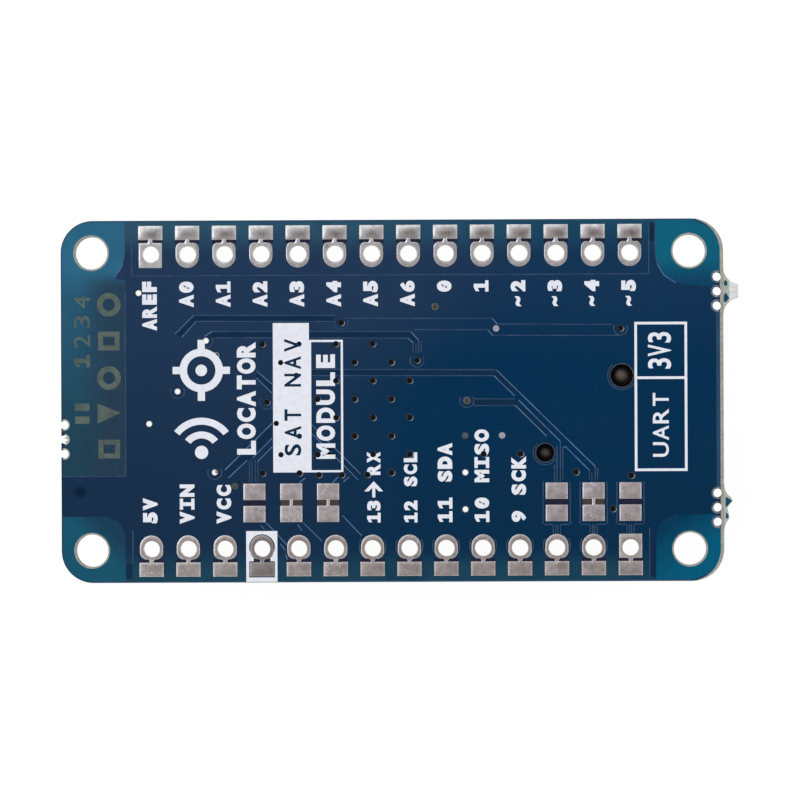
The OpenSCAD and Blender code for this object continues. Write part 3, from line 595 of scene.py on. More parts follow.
def close_sheet(bm, rows):
    """Skins a grid of points and closes it down to the board."""
    for lower, upper in zip(rows, rows[1:]):
        for i in range(len(lower) - 1):
            bm.faces.new((lower[i], lower[i + 1], upper[i + 1], upper[i]))
    border = rows[0] + [r[-1] for r in rows[1:]] + rows[-1][-2::-1] + [r[0] for r in rows[-2:0:-1]]
    foot = [bm.verts.new((p.co.x, p.co.y, 0)) for p in border]
    for i in range(len(border)):
        k = (i + 1) % len(border)
        bm.faces.new((foot[i], foot[k], border[k], border[i]))
    bm.faces.new(foot[::-1])


# Geometry Nodes


def wire(tree, *links):
    """Joins sockets, each link given as a node and its output, then a node and its input."""
    for source, output, target, entry in links:
        tree.links.new(source.outputs[output], target.inputs[entry])


def new_tree(name, *inputs):
    """A tree with a mesh and a finish as inputs, and others between them."""
    tree = bpy.data.node_groups.new(name, "GeometryNodeTree")
    tree.interface.new_socket(name="Geometry", in_out="OUTPUT", socket_type="NodeSocketGeometry")
    for label, kind in (("Geometry", "Geometry"), *inputs, ("Finish", "Material")):
        tree.interface.new_socket(name=label, in_out="INPUT", socket_type="NodeSocket" + kind)
    return tree, tree.nodes.new("NodeGroupInput"), tree.nodes.new("NodeGroupOutput")


def closed_tree(tree, given, result, source, output):
    """Ends a tree with Realize Instances and Set Material."""
    real = tree.nodes.new("GeometryNodeRealizeInstances")
    paint = tree.nodes.new("GeometryNodeSetMaterial")
    wire(tree, (source, output, real, "Geometry"), (real, "Geometry", paint, "Geometry"),
         (given, "Finish", paint, "Material"), (paint, "Geometry", result, "Geometry"))
    return tree


def stamped(tree, given, points, output):
    """Adds copies of the stamp on points to a tree."""
    stamp = tree.nodes.new("GeometryNodeObjectInfo")
    made = tree.nodes.new("GeometryNodeInstanceOnPoints")
    wire(tree, (given, "Stamp", stamp, "Object"), (points, output, made, "Points"),
         (stamp, "Geometry", made, "Instance"))
    return made


def ribbon_tree():
    """A flat ribbon along each line of the mesh."""
    tree, given, result = new_tree("ribbon_along_lines", ("Width", "Float"), ("Height", "Float"))
    line = tree.nodes.new("GeometryNodeMeshToCurve")
    upright = tree.nodes.new("GeometryNodeSetCurveNormal")
    upright.mode = "Z_UP"
    profile = tree.nodes.new("GeometryNodeCurvePrimitiveQuadrilateral")
    sweep = tree.nodes.new("GeometryNodeCurveToMesh")
    sweep.inputs["Fill Caps"].default_value = True
    wire(tree, (given, "Geometry", line, "Mesh"), (line, "Curve", upright, "Curve"),
         (upright, "Curve", sweep, "Curve"), (given, "Width", profile, "Width"),
         (given, "Height", profile, "Height"), (profile, "Curve", sweep, "Profile Curve"))
    return closed_tree(tree, given, result, sweep, "Mesh")


def row_tree():
    """Copies of a stamp along a straight row."""
    tree, given, result = new_tree("copies_in_a_row", ("Stamp", "Object"), ("Count", "Int"),
                                   ("Start", "Vector"), ("Step", "Vector"), ("Turn", "Rotation"))
    line = tree.nodes.new("GeometryNodeMeshLine")
    made = stamped(tree, given, line, "Mesh")
    wire(tree, (given, "Count", line, "Count"), (given, "Start", line, "Start Location"),
         (given, "Step", line, "Offset"), (given, "Turn", made, "Rotation"))
    return closed_tree(tree, given, result, made, "Instances")


def place_tree():
    """Copies of a stamp on each point of the mesh."""
    tree, given, result = new_tree("copies_at_points", ("Stamp", "Object"))
    return closed_tree(tree, given, result, stamped(tree, given, given, "Geometry"), "Instances")


RIBBONS = ribbon_tree()
ROWS = row_tree()
PLACES = place_tree()


def settled(holder):
    """The plain mesh of an object, with its modifiers or its letters worked out."""
    found = holder.evaluated_get(bpy.context.evaluated_depsgraph_get())
    return bpy.data.meshes.new_from_object(found)


def grown(tree, mesh, **values):
    """The plain mesh that a tree makes of a mesh, with its inputs set by name."""
    holder = linked("grown", mesh)
    maker = holder.modifiers.new("grown", "NODES")
    maker.node_group = tree
    for item in tree.interface.items_tree:
        if item.in_out == "INPUT" and item.name in values:
            maker[item.identifier] = values[item.name]
    made = settled(holder)
    holder.modifiers.remove(maker)
    bpy.data.objects.remove(holder)
    return made


def joined(*meshes):
    """One mesh of several."""
    bm = bmesh.new()
    for mesh in meshes:
        bm.from_mesh(mesh)
    made = bpy.data.meshes.new("joined")
    bm.to_mesh(made)
    bm.free()
    return made


def ribbons(name, lines, width, low, high, finish):
    """Ribbons of one width along lines of (x, y) points, from z = low to z = high."""
    mesh = bpy.data.meshes.new("lines")
    points, edges = [], []
    for line in lines:
        for i, (x, y) in enumerate(line):
            if i:
                edges.append((len(points) - 1, len(points)))
            points.append((x * MM, y * MM, (low + high) / 2 * MM))
    mesh.from_pydata(points, edges, [])
    made = grown(RIBBONS, mesh, Width=width * MM, Height=(high - low) * MM, Finish=finish)
    return piece(name, made, finish, "solder_mask_board")


def copies(name, stamp, places, finish, slot):
    """Copies of a mesh at places on the board."""
    mesh = bpy.data.meshes.new("places")
    mesh.from_pydata([(x * MM, y * MM, 0) for x, y in places], [], [])
    holder = linked("stamp", stamp)
    made = grown(PLACES, mesh, Stamp=holder, Finish=finish)
    bpy.data.objects.remove(holder)
    return piece(name, made, finish, slot)


# Header lands


def land_radius(angle, kind):
    """Distance from a header hole's middle to the edge of its land; +Y points to the board's edge."""
    x, y = math.cos(angle), math.sin(angle)
    side = LAND_HALF / max(abs(x), 1e-9)
    flat = LAND_FLAT / y if y > 1e-9 else 1e9
    if kind == "squared":
        return min(side, flat, LAND_REACH / -y if y < -1e-9 else 1e9)
    round_y = LAND_HALF - LAND_REACH
    reach = y * round_y + math.sqrt((y * round_y) ** 2 - round_y ** 2 + LAND_HALF ** 2)
    if reach * y < round_y:
        return reach
    reach = min(side, flat)
    bend = LAND_CORNER[kind]
    inner = Vector((math.copysign(LAND_HALF - bend, x), LAND_FLAT - bend))
    if abs(reach * x) > abs(inner.x) and reach * y > inner.y:
        along = inner.dot((x, y))
        reach = along + math.sqrt(along ** 2 - inner.length_squared + bend ** 2)
    return reach


def bell(value, middle, width):
    return math.exp(-((value - middle) / width) ** 2)


def sheen(u, v):
    """Painted light and shade on a bright edge land: painted highlights along its left and outer sides,
    painted brown shade in the middle.
    """
    painted_shade = 0.80 * bell(u, 0.58, 0.34) * bell(v, 0.38, 0.30) + 0.25 * bell(v, 0.0, 0.14) * bell(u, 0.5, 0.4)
    left_light = 1.40 * bell(u, 0.0, 0.17) * bell(v, 0.70, 0.60)
    outer_light = 1.30 * bell(v, 1.0, 0.26) * bell(u, 0.35, 0.65)
    right_light = 0.70 * bell(u, 1.0, 0.08)
    return painted_shade - left_light - outer_light - right_light


def stain_and_rim_sheen(u, v):
    """A dull edge land, darker in its middle, with painted highlights along its rims."""
    rims = bell(u, 0.0, 0.05) + bell(u, 1.0, 0.05) + bell(v, 0.0, 0.07) + bell(v, 1.0, 0.07)
    # Painted highlights along the rims
    return 0.12 + 0.25 * bell(u, 0.30, 0.28) * bell(v, 0.45, 0.35) - 0.50 * rims


def jumper_rim_sheen_and_brown(u, v):
    """A jumper land, browner towards its lower side, with painted highlights along its rims."""
    rims = bell(u, 0.0, 0.06) + bell(u, 1.0, 0.06) + bell(v, 0.0, 0.05)
    # Painted highlights along the rims
    return 0.06 + 0.28 * bell(v, 0.12, 0.22) * bell(u, 0.50, 0.30) + 0.12 * bell(u, 0.85, 0.2) - 0.40 * rims


# Painted light and shade on the rings of each kind of header land, from its outer foot to the hole's edge:
# below 0 a painted highlight, above 0 painted shade
RING_SHADING = {
    "arched": (0.30, -0.20, 0.05, 0.20, 0.10, -0.25, -0.10, 0.30),
    "round": (0.45, -0.30, -0.40, -0.10, 0.25, 0.40, 0.20, 0.30),
    "squared": (0.30, -0.25, -0.35, -0.25, -0.20, -0.10, 0.10, 0.30),
}
RING_STEPS = 72
# Rings of a header land as shares of its width and heights, then rings of its barrel as radii and heights
LAND_RINGS = (
    (1.0, 0.0), (1.0, 0.032), (0.92, 0.038), (0.76, 0.044), (0.50, 0.048), (0.25, 0.049), (0.10, 0.046),
)
BARREL_RINGS = (
    (HOLE_R, 0.038), (HOLE_R, -0.4), (HOLE_R, -1.2), (HOLE_R, -BOARD_T - 0.030),
    (HOLE_R + 0.03, -BOARD_T - 0.050), (LAND_HALF - 0.06, -BOARD_T - 0.048), (LAND_HALF, -BOARD_T - 0.02),
    (LAND_HALF, -BOARD_T), (DRILL_R, -BOARD_T), (DRILL_R, 0.0),
)
EDGE_LAND_RIM = 0.030
EDGE_LAND_CROWN = 0.056
EDGE_LAND_DOME = 0.010
NECK_START = LAND_FLAT - 0.12
NECK_END = EDGE_LAND_Y + 0.10
NECK_FOOT = 0.008
NECK_RISE = 0.040
NECK_SIDES = (0.5, 0.75, 0.9, 1)
STRAP_STEPS = 8
SMOOTH_BELOW = 50


def strap(bm, start, end, half_at, foot, rise, sides):
    """A narrow, rounded strap of tin along Y; `half_at` gives half its width at each share of its length."""
    across = [-side for side in reversed(sides)] + [0] + list(sides)
    rows = []
    for j in range(STRAP_STEPS + 1):
        part = j / STRAP_STEPS
        y = start + part * (end - start)
        half = half_at(part)
        rows.append([bm.verts.new((u * half, y, foot + rise * (1 - u ** 4))) for u in across])
    close_sheet(bm, rows)


def neck_half(part):
    return NECK_W / 2 - 0.09 + 0.26 * (1 - part) ** 2.5 + 0.08 * part ** 6


def eyelet(kind, edge_tone):
    """A plated header hole: lands on both faces, joined by the barrel, with its edge land and neck."""
    turns = {2 * math.pi * i / RING_STEPS for i in range(RING_STEPS)}
    if kind == "squared":
        for x in (-LAND_HALF, LAND_HALF):
            turns |= {math.atan2(y, x) % (2 * math.pi) for y in (LAND_FLAT, -LAND_REACH)}
    turns = sorted(turns)
    rings = []
    for share, z in LAND_RINGS:
        reaches = [HOLE_R + share * (land_radius(a, kind) - HOLE_R) for a in turns]
        rings.append([(*polar((0, 0), r, a), z) for r, a in zip(reaches, turns)])
    for r, z in BARREL_RINGS:
        rings.append([(*polar((0, 0), r, a), z) for a in turns])
    bm = bmesh.new()
    bm.verts.layers.float.new("tone")
    loft(bm, rings, RING_SHADING[kind])
    pillow(bm, -EDGE_LAND_HALF, EDGE_LAND_Y, EDGE_LAND_HALF, EDGE_LAND_Y + EDGE_LAND_L, EDGE_LAND_RIM,
           EDGE_LAND_CROWN, dome=EDGE_LAND_DOME, tone=edge_tone)
    strap(bm, NECK_START, NECK_END, neck_half, NECK_FOOT, NECK_RISE, NECK_SIDES)
    return mesh_of(bm, "eyelet", SMOOTH_BELOW)


FACE_DEPTH = 0.1
STRETCH_START = HOLE_R + 0.02
STRETCH_RUN = 0.13


def reach_out(mesh, shift):
    """Moves the outer end of an eyelet on the solder face outwards, past the hole."""
    for v in mesh.vertices:
        if v.co.z > -FACE_DEPTH * MM:
            v.co.y += shift * MM * min(max((v.co.y / MM - STRETCH_START) / STRETCH_RUN, 0.0), 1.0)
    return mesh


def header_row(name, node, side, kind, squared_column, finish):
    """One row of header holes: a row of like lands and one squared land."""
    turn = (0, 0, 0 if side > 0 else math.pi)
    empty = bpy.data.meshes.new("empty")
    first = 1 if squared_column == 0 else 0
    meshes = []
    for shape, start, count in ((kind, first, COLUMNS - 1), ("squared", squared_column, 1)):
        made = reach_out(eyelet(shape, sheen), UPPER_SHIFT) if side > 0 else eyelet(shape, stain_and_rim_sheen)
        holder = linked("stamp", made)
        meshes.append(grown(
            ROWS, empty.copy(), Stamp=holder, Count=count, Start=(column_x(start) * MM, side * ROW_Y * MM, 0),
            Step=(PITCH * MM, 0, 0), Turn=turn, Finish=finish))
        bpy.data.objects.remove(holder)
    return piece(name, joined(*meshes), finish, "tin", node)


header_row("upper_eyelets", "upper_header_pads", 1, "arched", 0, UPPER_TIN)
header_row("lower_eyelets", "lower_header_pads", -1, "round", COLUMNS - 1, LOWER_TIN)

JUMPER_RIM = 0.032
JUMPER_CROWN = 0.054
JUMPER_SLOPE = 0.10
JUMPER_DOME = 0.006
BRIDGE_LAP = 0.08
BRIDGE_FOOT = 0.010
BRIDGE_RISE = 0.038
BRIDGE_SIDES = (0.35, 0.7, 0.9, 1)


def bridge_half(part):
    return BRIDGE_W / 2 + 0.05 * (2 * part - 1) ** 4


def jumper(bridged):
    """The two lands of a solder jumper, joined by a strap if it is bridged."""
    bm = bmesh.new()
    half = JUMPER_W / 2
    low = JUMPER_GAP / 2
    high = low + JUMPER_L
    for start, end in ((low, high), (-high, -low)):
        pillow(bm, -half, start, half, end, JUMPER_RIM, JUMPER_CROWN, JUMPER_SLOPE, JUMPER_DOME, jumper_rim_sheen_and_brown)
    if bridged:
        reach = low + BRIDGE_LAP
        strap(bm, -reach, reach, bridge_half, BRIDGE_FOOT, BRIDGE_RISE, BRIDGE_SIDES)
    return mesh_of(bm, "jumper", SMOOTH_BELOW)


for jumper_name, jumper_node, jumper_columns, closed in (
        ("open_jumper_lands", "open_jumpers", OPEN_JUMPERS, False),
        ("bridged_jumper_lands", "bridged_jumpers", BRIDGED_JUMPERS, True)):
    made_jumpers = copies(jumper_name, jumper(closed), [(jumper_x(i), JUMPER_Y) for i in jumper_columns],
                          JUMPER_TIN, "tin")
    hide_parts(jumper_node)


# Mask: copper-free zones, bare laminate and open slots


def notched(x_edge, side, holes, y_from, y_to, clear=0.03, steps=60):
    """Points down a short edge, pushed inwards past the perforations there."""
    made = []
    for i in range(steps + 1):
        y = y_from + (y_to - y_from) * i / steps
        x = x_edge
        for hole_x, hole_y in holes:
            reach = (PERFORATION_R + clear) ** 2 - (y - hole_y) ** 2
            if reach > 0:
                rim = hole_x - side * math.sqrt(reach)
                x = min(x, rim) if side > 0 else max(x, rim)
        made.append((x, y))
    return made


RIGHT_HOLES = [(RIGHT_PERFORATION_X, y + i) for y in (UPPER_TAB_Y, LOWER_TAB_Y) for i in (-1, 0, 1)]
LEFT_HOLES = [(LEFT_PERFORATION_X, LEFT_TAB_Y + i) for i in (-1, 0, 1)]
MOUNTS = [(side_x * MOUNT_X, side_y * MOUNT_Y) for side_x in (-1, 1) for side_y in (-1, 1)]
INSET = 0.07
STRIPE = 0.23
MASK_RIGHT = RIGHT_X - STRIPE
MASK_LAP = 0.01
EDGE_CLEAR = 0.005
CUT_CLEAR = 0.004
MOUNT_MASK_GAP = 0.02
MOUNT_RING_W = 0.11
MOUNT_CLEAR = 0.003
ROUND_STEPS = 48
STRIPE_STEPS = 240
BEND_TURN = 80
BEND_STEPS = 16
CORNER_X = RIGHT_X - CORNER_R
CORNER_Y = EDGE_Y - CORNER_R
# Where the copper ends, in the upper corners, the left end and the lower corners
UPPER_LEFT_SHORE = ((-18.28, 10.20), (-18.41, 9.45), (-19.03, 8.48))
UPPER_RIGHT_SHORE = ((18.27, 10.14), (18.45, 9.29), (18.86, 8.60), (19.68, 8.05))
END_X = -18.26
END_Y = -5.14
LOWER_SHORE_R = 1.6
LOWER_SHORE_Y = -9.51


def zone_plates(bm):
    """The parts of the board without copper: the four corners and the left end."""
    left = LEFT_X + INSET
    right = MASK_RIGHT - MASK_LAP
    top = EDGE_Y - INSET
    r = CORNER_R - INSET
    left_corner_x = LEFT_X + CORNER_R
    lower_y = LOWER_SHORE_Y + LOWER_SHORE_R
    upper_left = [(-18.27, top), *UPPER_LEFT_SHORE, (END_X, 8.41), (END_X, END_Y)]
    upper_left += notched(left, -1, LEFT_HOLES, END_Y, CORNER_Y) + arc((left_corner_x, CORNER_Y), r, 180, 90)
    lower_left = [(left, lower_y)] + arc((-19.9, LOWER_SHORE_Y), LOWER_SHORE_R, 90, 0) + [(-18.30, -top)]
    lower_left += arc((left_corner_x, -CORNER_Y), r, 270, 180)
    upper_right = [(18.27, top), *UPPER_RIGHT_SHORE, (21.39, 7.83)]
    upper_right += notched(right, 1, RIGHT_HOLES, 7.80, CORNER_Y)
    upper_right += arc((CORNER_X, CORNER_Y), CORNER_R - STRIPE, 0, 60) + [(CORNER_X, top)]
    lower_right = [(18.27, -top)] + arc((19.87, LOWER_SHORE_Y), LOWER_SHORE_R, 180, 90)
    lower_right += notched(right, 1, RIGHT_HOLES, lower_y, -CORNER_Y)
    lower_right += arc((CORNER_X, -CORNER_Y), CORNER_R - STRIPE, 0, -60) + [(CORNER_X, -top)]
    for outline, mount in zip((lower_left, upper_left, lower_right, upper_right), MOUNTS):
        prism(bm, outline, 0, ZONE_TOP, [circle(mount, MOUNT_R + MOUNT_MASK_GAP, ROUND_STEPS)])


def bare_plates(bm):
    """Laminate without mask: a stripe along the right edge, and rings round the mounting holes."""
    inner = notched(MASK_RIGHT, -1, RIGHT_HOLES, CORNER_Y, -CORNER_Y, MASK_LAP, STRIPE_STEPS)
    outer = [(RIGHT_X - EDGE_CLEAR, y) for x, y in inner]
    for side in (1, -1):
        centre = (CORNER_X, side * CORNER_Y)
        turns = [math.radians(side * BEND_TURN * (1 - i / BEND_STEPS)) for i in range(BEND_STEPS)]
        bend_out = [polar(centre, CORNER_R - EDGE_CLEAR, a) for a in turns]
        bend_in = [polar(centre, CORNER_R - STRIPE * math.cos(a) - MASK_LAP, a) for a in turns]
        if side > 0:
            outer, inner = bend_out + outer, bend_in + inner
        else:
            outer, inner = outer + bend_out[::-1], inner + bend_in[::-1]
    prism(bm, outer + inner[::-1], 0, BARE_TOP)
    for mount in MOUNTS:
        ring_plate(bm, mount, MOUNT_R + MOUNT_RING_W, MOUNT_R + MOUNT_CLEAR, 0, RING_TOP, ROUND_STEPS)


SLOT_INSET = 0.02
SLOT_LAP = 0.01
GAP_LAP = 0.05
GAP_HALF = 0.13
NOTCHES = (-0.5, 0.5)
NOTCH_X = RIGHT_PERFORATION_X + 0.05
NOTCH_HALF_X = 0.15
NOTCH_HALF_Y = 0.05


def slot_plates(bm):
    """Laminate that shows between the lands of the bridged jumpers."""
    for i in BRIDGED_JUMPERS:
        half_x = JUMPER_W / 2 - SLOT_INSET
        half_y = JUMPER_GAP / 2 + SLOT_LAP
        prism(bm, pad(jumper_x(i), JUMPER_Y, half_x, half_y), 0, RIDGE_TOP)


def gap_plates(bm):
    """Dark mask between header lands and edge lands, across the open jumpers and between perforations."""
    gap_y = ROW_Y + (LAND_FLAT + EDGE_LAND_Y) / 2
    for y in (gap_y + UPPER_SHIFT, -gap_y):
        for i in range(COLUMNS):
            prism(bm, pad(column_x(i), y, LAND_HALF + GAP_LAP, GAP_HALF), 0, ZONE_TOP)
    for i in OPEN_JUMPERS:
        prism(bm, pad(jumper_x(i), JUMPER_Y, JUMPER_W / 2, JUMPER_GAP / 2), 0, ZONE_TOP)
    for y in (UPPER_TAB_Y, LOWER_TAB_Y):
        for notch in NOTCHES:
            prism(bm, pad(NOTCH_X, y + notch, NOTCH_HALF_X, NOTCH_HALF_Y), 0, NOTCH_TOP)


# Broken tabs and perforations

ROUTER_R = 1.2
TAB_ROOT = 1.65
STUB_L = 1.03
BREAK_L = 0.42
TAB_INSET = 0.006
LOWER_BREAK = ((0.58, 0.45), (0.212, 0), (0.35, -0.65))
LOWER_BREAK_UP = 0.49
LOWER_BREAK_DOWN = 0.30
LEFT_RIM_W = 0.09
LEFT_RIM_TURN = 105
MIDDLE_RIM_TURN = 80
LEFT_CLEAR = 0.01
HALO_W = 0.13
HALO_CLEAR = 0.012
HALO_TURNS = (70, 290, 24)
SPLINTERS = (
    (((-22.19, -2.38), (-22.55, -2.47), (-22.23, -2.60)), -0.5, -0.02),
    (((-22.20, -2.60), (-22.50, -2.77), (-22.24, -2.82)), -0.4, -0.05),
)
UPPER_SCRAPS = (
    ((22.99, 8.05), (23.09, 8.25), (23.25, 8.09), (23.22, 7.86), (23.03, 7.80)),
    ((22.98, 7.15), (23.13, 7.37), (23.37, 6.98), (23.13, 6.70), (22.98, 6.74)),
)
LOWER_SCRAPS = (
    ((23.05, -6.72), (23.20, -6.76), (23.50, -6.98), (23.26, -7.24), (23.13, -7.40), (23.05, -7.36)),
    ((23.07, -7.80), (23.16, -7.82), (23.28, -8.07), (23.13, -8.24), (23.06, -8.15)),
)


def tab_half(d):
    """Half the width of a break-off tab at a distance from the right edge, along the cutter's arc."""
    return TAB_ROOT - math.sqrt(max(ROUTER_R ** 2 - (ROUTER_R - d) ** 2, 0)) - TAB_INSET


def tab_side(tab_y, side, start, end, steps):
    """Points along one side of a break-off tab, between two distances from the right edge."""
    lengths = [start + (end - start) * i / steps for i in range(steps + 1)]
    return [(RIGHT_X + d, tab_y + side * tab_half(d)) for d in lengths]


def flare(tab_y, start, end, steps=12):
    """A slice of a break-off tab between two distances from the right edge."""
    return tab_side(tab_y, -1, start, end, steps) + tab_side(tab_y, 1, end, start, steps)


def stub_plates(bm):
    """The glassy broken end of the upper tab."""
    prism(bm, flare(UPPER_TAB_Y, BREAK_L, STUB_L - CUT_CLEAR), 0, RING_TOP)


def tab_plates(bm):
    """Bare laminate on the tabs, and splinters and rims of the left half holes."""
    prism(bm, flare(UPPER_TAB_Y, 0.0, BREAK_L), 0, BARE_TOP)
    outline = tab_side(LOWER_TAB_Y, 1, 0, LOWER_BREAK_UP, 10)
    outline += [(RIGHT_X + d, LOWER_TAB_Y + y) for d, y in LOWER_BREAK]
    outline += tab_side(LOWER_TAB_Y, -1, LOWER_BREAK_DOWN, 0, 8)
    prism(bm, outline, 0, BARE_TOP)
    for splinter, low, high in SPLINTERS:
        prism(bm, splinter, low, high)
    for x, y in LEFT_HOLES:
        turn = LEFT_RIM_TURN if y != LEFT_TAB_Y else MIDDLE_RIM_TURN
        ring = arc((x, y), PERFORATION_R + LEFT_RIM_W, -turn, turn, 20)
        ring = [(max(px, LEFT_X + LEFT_CLEAR), py) for px, py in ring]
        prism(bm, ring + arc((x, y), PERFORATION_R + CUT_CLEAR, turn, -turn, 20), 0, RING_TOP)


def scrap_plates(bm):
    """Scraps of mask that stay on the tabs."""
    for scraps, top in ((UPPER_SCRAPS, HALO_TOP), (LOWER_SCRAPS, RING_TOP)):
        for outline in scraps:
            prism(bm, outline, 0, top)


def halo_plates(bm):
    """Painted halos of light round the right-hand perforations."""
    for hole in RIGHT_HOLES:
        prism(bm, band(hole, PERFORATION_R + HALO_W, PERFORATION_R + HALO_CLEAR, *HALO_TURNS), 0, HALO_TOP)


# Mask: edges of traces and of the copper pour

# Traces with a dark gap beside them: one edge, then what lies on the other side of the gap
GAP_TRACES = (
    (((-12.82, 4.48), (-12.26, 4.83), (1.42, 4.76), (1.95, 4.20), (1.95, 3.27)),
     ((-12.14, 4.39), (1.23, 4.31), (1.58, 4.00), (1.58, 3.34))),
    (((-14.83, 4.66), (-13.52, 5.95), (-3.71, 5.89)), ((-14.38, 4.42), (-13.37, 5.53), (-3.89, 5.48))),
    (((-11.42, -4.72), (-8.17, -1.53)), ((-11.18, -5.27), (-9.90, -4.07)), ((-9.50, -3.90), (-8.18, -2.56))),
    (((-9.20, 2.09), (-8.17, 1.19)), ((-9.26, 1.64), (-8.17, 0.57))),
    (((-5.53, -1.54), (-2.09, -5.03)), ((-5.53, -2.13), (-2.23, -5.44))),
)
TRACES = (
    ((-3.30, 5.70), (7.03, 5.65), (7.38, 5.26), (15.28, 5.20)),
    ((1.67, 4.90), (6.72, 4.87), (7.07, 4.48), (15.83, 4.44)),
    ((1.78, 3.89), (1.78, 3.27)),
    ((2.13, 4.10), (2.13, 3.34)),
    ((-5.52, 2.19), (7.30, 2.11), (14.09, -4.57), (14.09, -5.63)),
    ((-5.52, 1.76), (7.13, 1.70), (8.56, 0.32)),
    ((8.84, 0.01), (11.70, -2.84), (11.69, -5.62)),
    ((5.72, 0.11), (8.57, 0.10)),
    ((5.71, -0.35), (8.62, -0.36), (10.75, -2.48)),
    ((11.29, -4.45), (11.29, -5.62)),
    ((11.46, -3.15), (11.46, -5.62)),
    ((11.86, -5.48), (11.87, -3.26), (12.04, -3.19), (13.69, -4.84), (13.69, -5.49)),
    ((13.86, -5.01), (13.86, -5.63)),
    ((14.26, -4.67), (14.26, -5.49)),
    ((-9.16, -4.15), (-8.14, -3.12)),
    ((-9.74, -4.04), (-9.74, -5.55)),
    ((-9.56, -3.97), (-9.57, -5.56)),
    ((-9.33, -3.97), (-9.33, -5.56)),
    ((-9.16, -4.18), (-9.16, -5.56)),
    ((-8.59, -8.38), (-8.04, -8.93), (-7.18, -9.90)),
    ((-8.98, -8.55), (-8.70, -8.83)),
    ((-7.63, -9.83), (-7.31, -10.24), (-7.27, -10.59), (-7.11, -10.93)),
    ((-6.42, -8.52), (-6.11, -8.94)),
    ((-6.04, -8.39), (-4.73, -9.66)),
    ((-3.34, -7.88), (-2.02, -9.28)),
    ((-6.30, -5.63), (-5.89, -5.29)),
    ((-4.02, -5.64), (-3.61, -5.23)),
    ((-3.26, -5.57), (-2.85, -5.23)),
)
POUR_EDGES = (
    ((-17.79, 12.27), (-17.80, 8.67), (17.83, 8.68), (17.84, 12.17)),
    ((-17.79, -8.84), (-17.79, -11.10)),
    ((17.82, -8.79), (17.82, -12.20)),
    ((END_X, 8.40), (END_X, END_Y), (-22.60, END_Y)),
    ((-18.27, 12.28), *UPPER_LEFT_SHORE),
    ((18.27, 12.20), *UPPER_RIGHT_SHORE),
)
WIDE_GAPS = (
    ((-5.52, 2.19), (7.30, 2.11), (8.82, 0.60), (8.56, 0.32), (7.13, 1.70), (-5.52, 1.76)),
    ((5.72, 0.11), (8.60, 0.10), (11.08, -2.36), (10.75, -2.48), (8.62, -0.36), (5.71, -0.35)),
    ((17.86, -8.90), (18.25, -9.40), (18.25, -12.20), (17.86, -12.20)),
    box(17.86, 10.92, 18.25, 12.20),
    box(-18.24, -12.20, -17.84, -11.15),
)


def channel_plates(bm):
    """Gaps in the copper beside the traces, where the mask lies lower and looks darker."""
    for near_edge, *far_edges in GAP_TRACES:
        far_points = [point for edge in far_edges for point in edge]
        prism(bm, list(near_edge) + far_points[::-1], 0, ZONE_TOP)
    for outline in WIDE_GAPS:
        prism(bm, outline, 0, ZONE_TOP)


MARGIN_BOX = (22.45, -6.05, MASK_RIGHT - MASK_LAP, 6.15)
EDGE_SHEEN_Y = EDGE_Y - 0.055
EDGE_SHEEN_HALF = 0.05
EDGE_SHEEN_LEFT = LEFT_X + 2.0
EDGE_SHEEN_RIGHT = RIGHT_X - 2.3


def margin_plates(bm):
    """Copper-free margin along the right edge, and painted highlights along both long edges."""
    prism(bm, box(*MARGIN_BOX), 0, ZONE_TOP)
    # Painted highlights along both long edges
    for y in (EDGE_SHEEN_Y, -EDGE_SHEEN_Y):
        prism(bm, box(EDGE_SHEEN_LEFT, y - EDGE_SHEEN_HALF, EDGE_SHEEN_RIGHT, y + EDGE_SHEEN_HALF), 0, RING_TOP)


face_pieces(
    ("copper_free_zones", FREE_MASK, zone_plates), ("bare_laminate", BARE, bare_plates),
    ("jumper_slots", SLOT, slot_plates), ("land_gaps", GROOVE, gap_plates),
    ("tab_laminate", TAB_BARE, tab_plates), ("broken_ends", GLASSY, stub_plates),
    ("mask_scraps", SCRAP, scrap_plates), ("perforation_halos", HALO_LIGHT, halo_plates),
    ("mask_channels", CHANNEL, channel_plates), ("edge_margins", MARGIN, margin_plates))

RIDGE_W = 0.07
SLANT = 0.35
ISLAND_R = 0.48
ISLAND_TURNS = (150, 390, 20)
RINGED_COLUMNS = range(6, 13)
RINGED_GAP = 0.14
RINGED_STARTS = (150, -40)
RINGED_TURN = 70
PEG_RING_GAP = 0.20
PEG_RING_TURNS = (130, 330, 28)
PEG_HOLES = ((15.95, 1.68, 0.785), (10.65, -3.62, 0.625))
FRAME_HALF = JUMPER_W / 2 + 0.17
# One side of the copper frame round a jumper, from the jumper's middle line outwards
FRAME_LINES = (
    ((FRAME_HALF, -5.62), (FRAME_HALF, -8.40), (FRAME_HALF + 0.07, -8.52)),
    ((FRAME_HALF - 0.06, -8.56), (0.32, -8.56), (0.24, -8.66), (0.24, -9.22)),
    ((0.07, -8.56), (0.07, -9.22)),
)


def is_slanted(a, b):
    dx, dy = abs(a[0] - b[0]), abs(a[1] - b[1])
    return min(dx, dy) > SLANT * max(dx, dy)


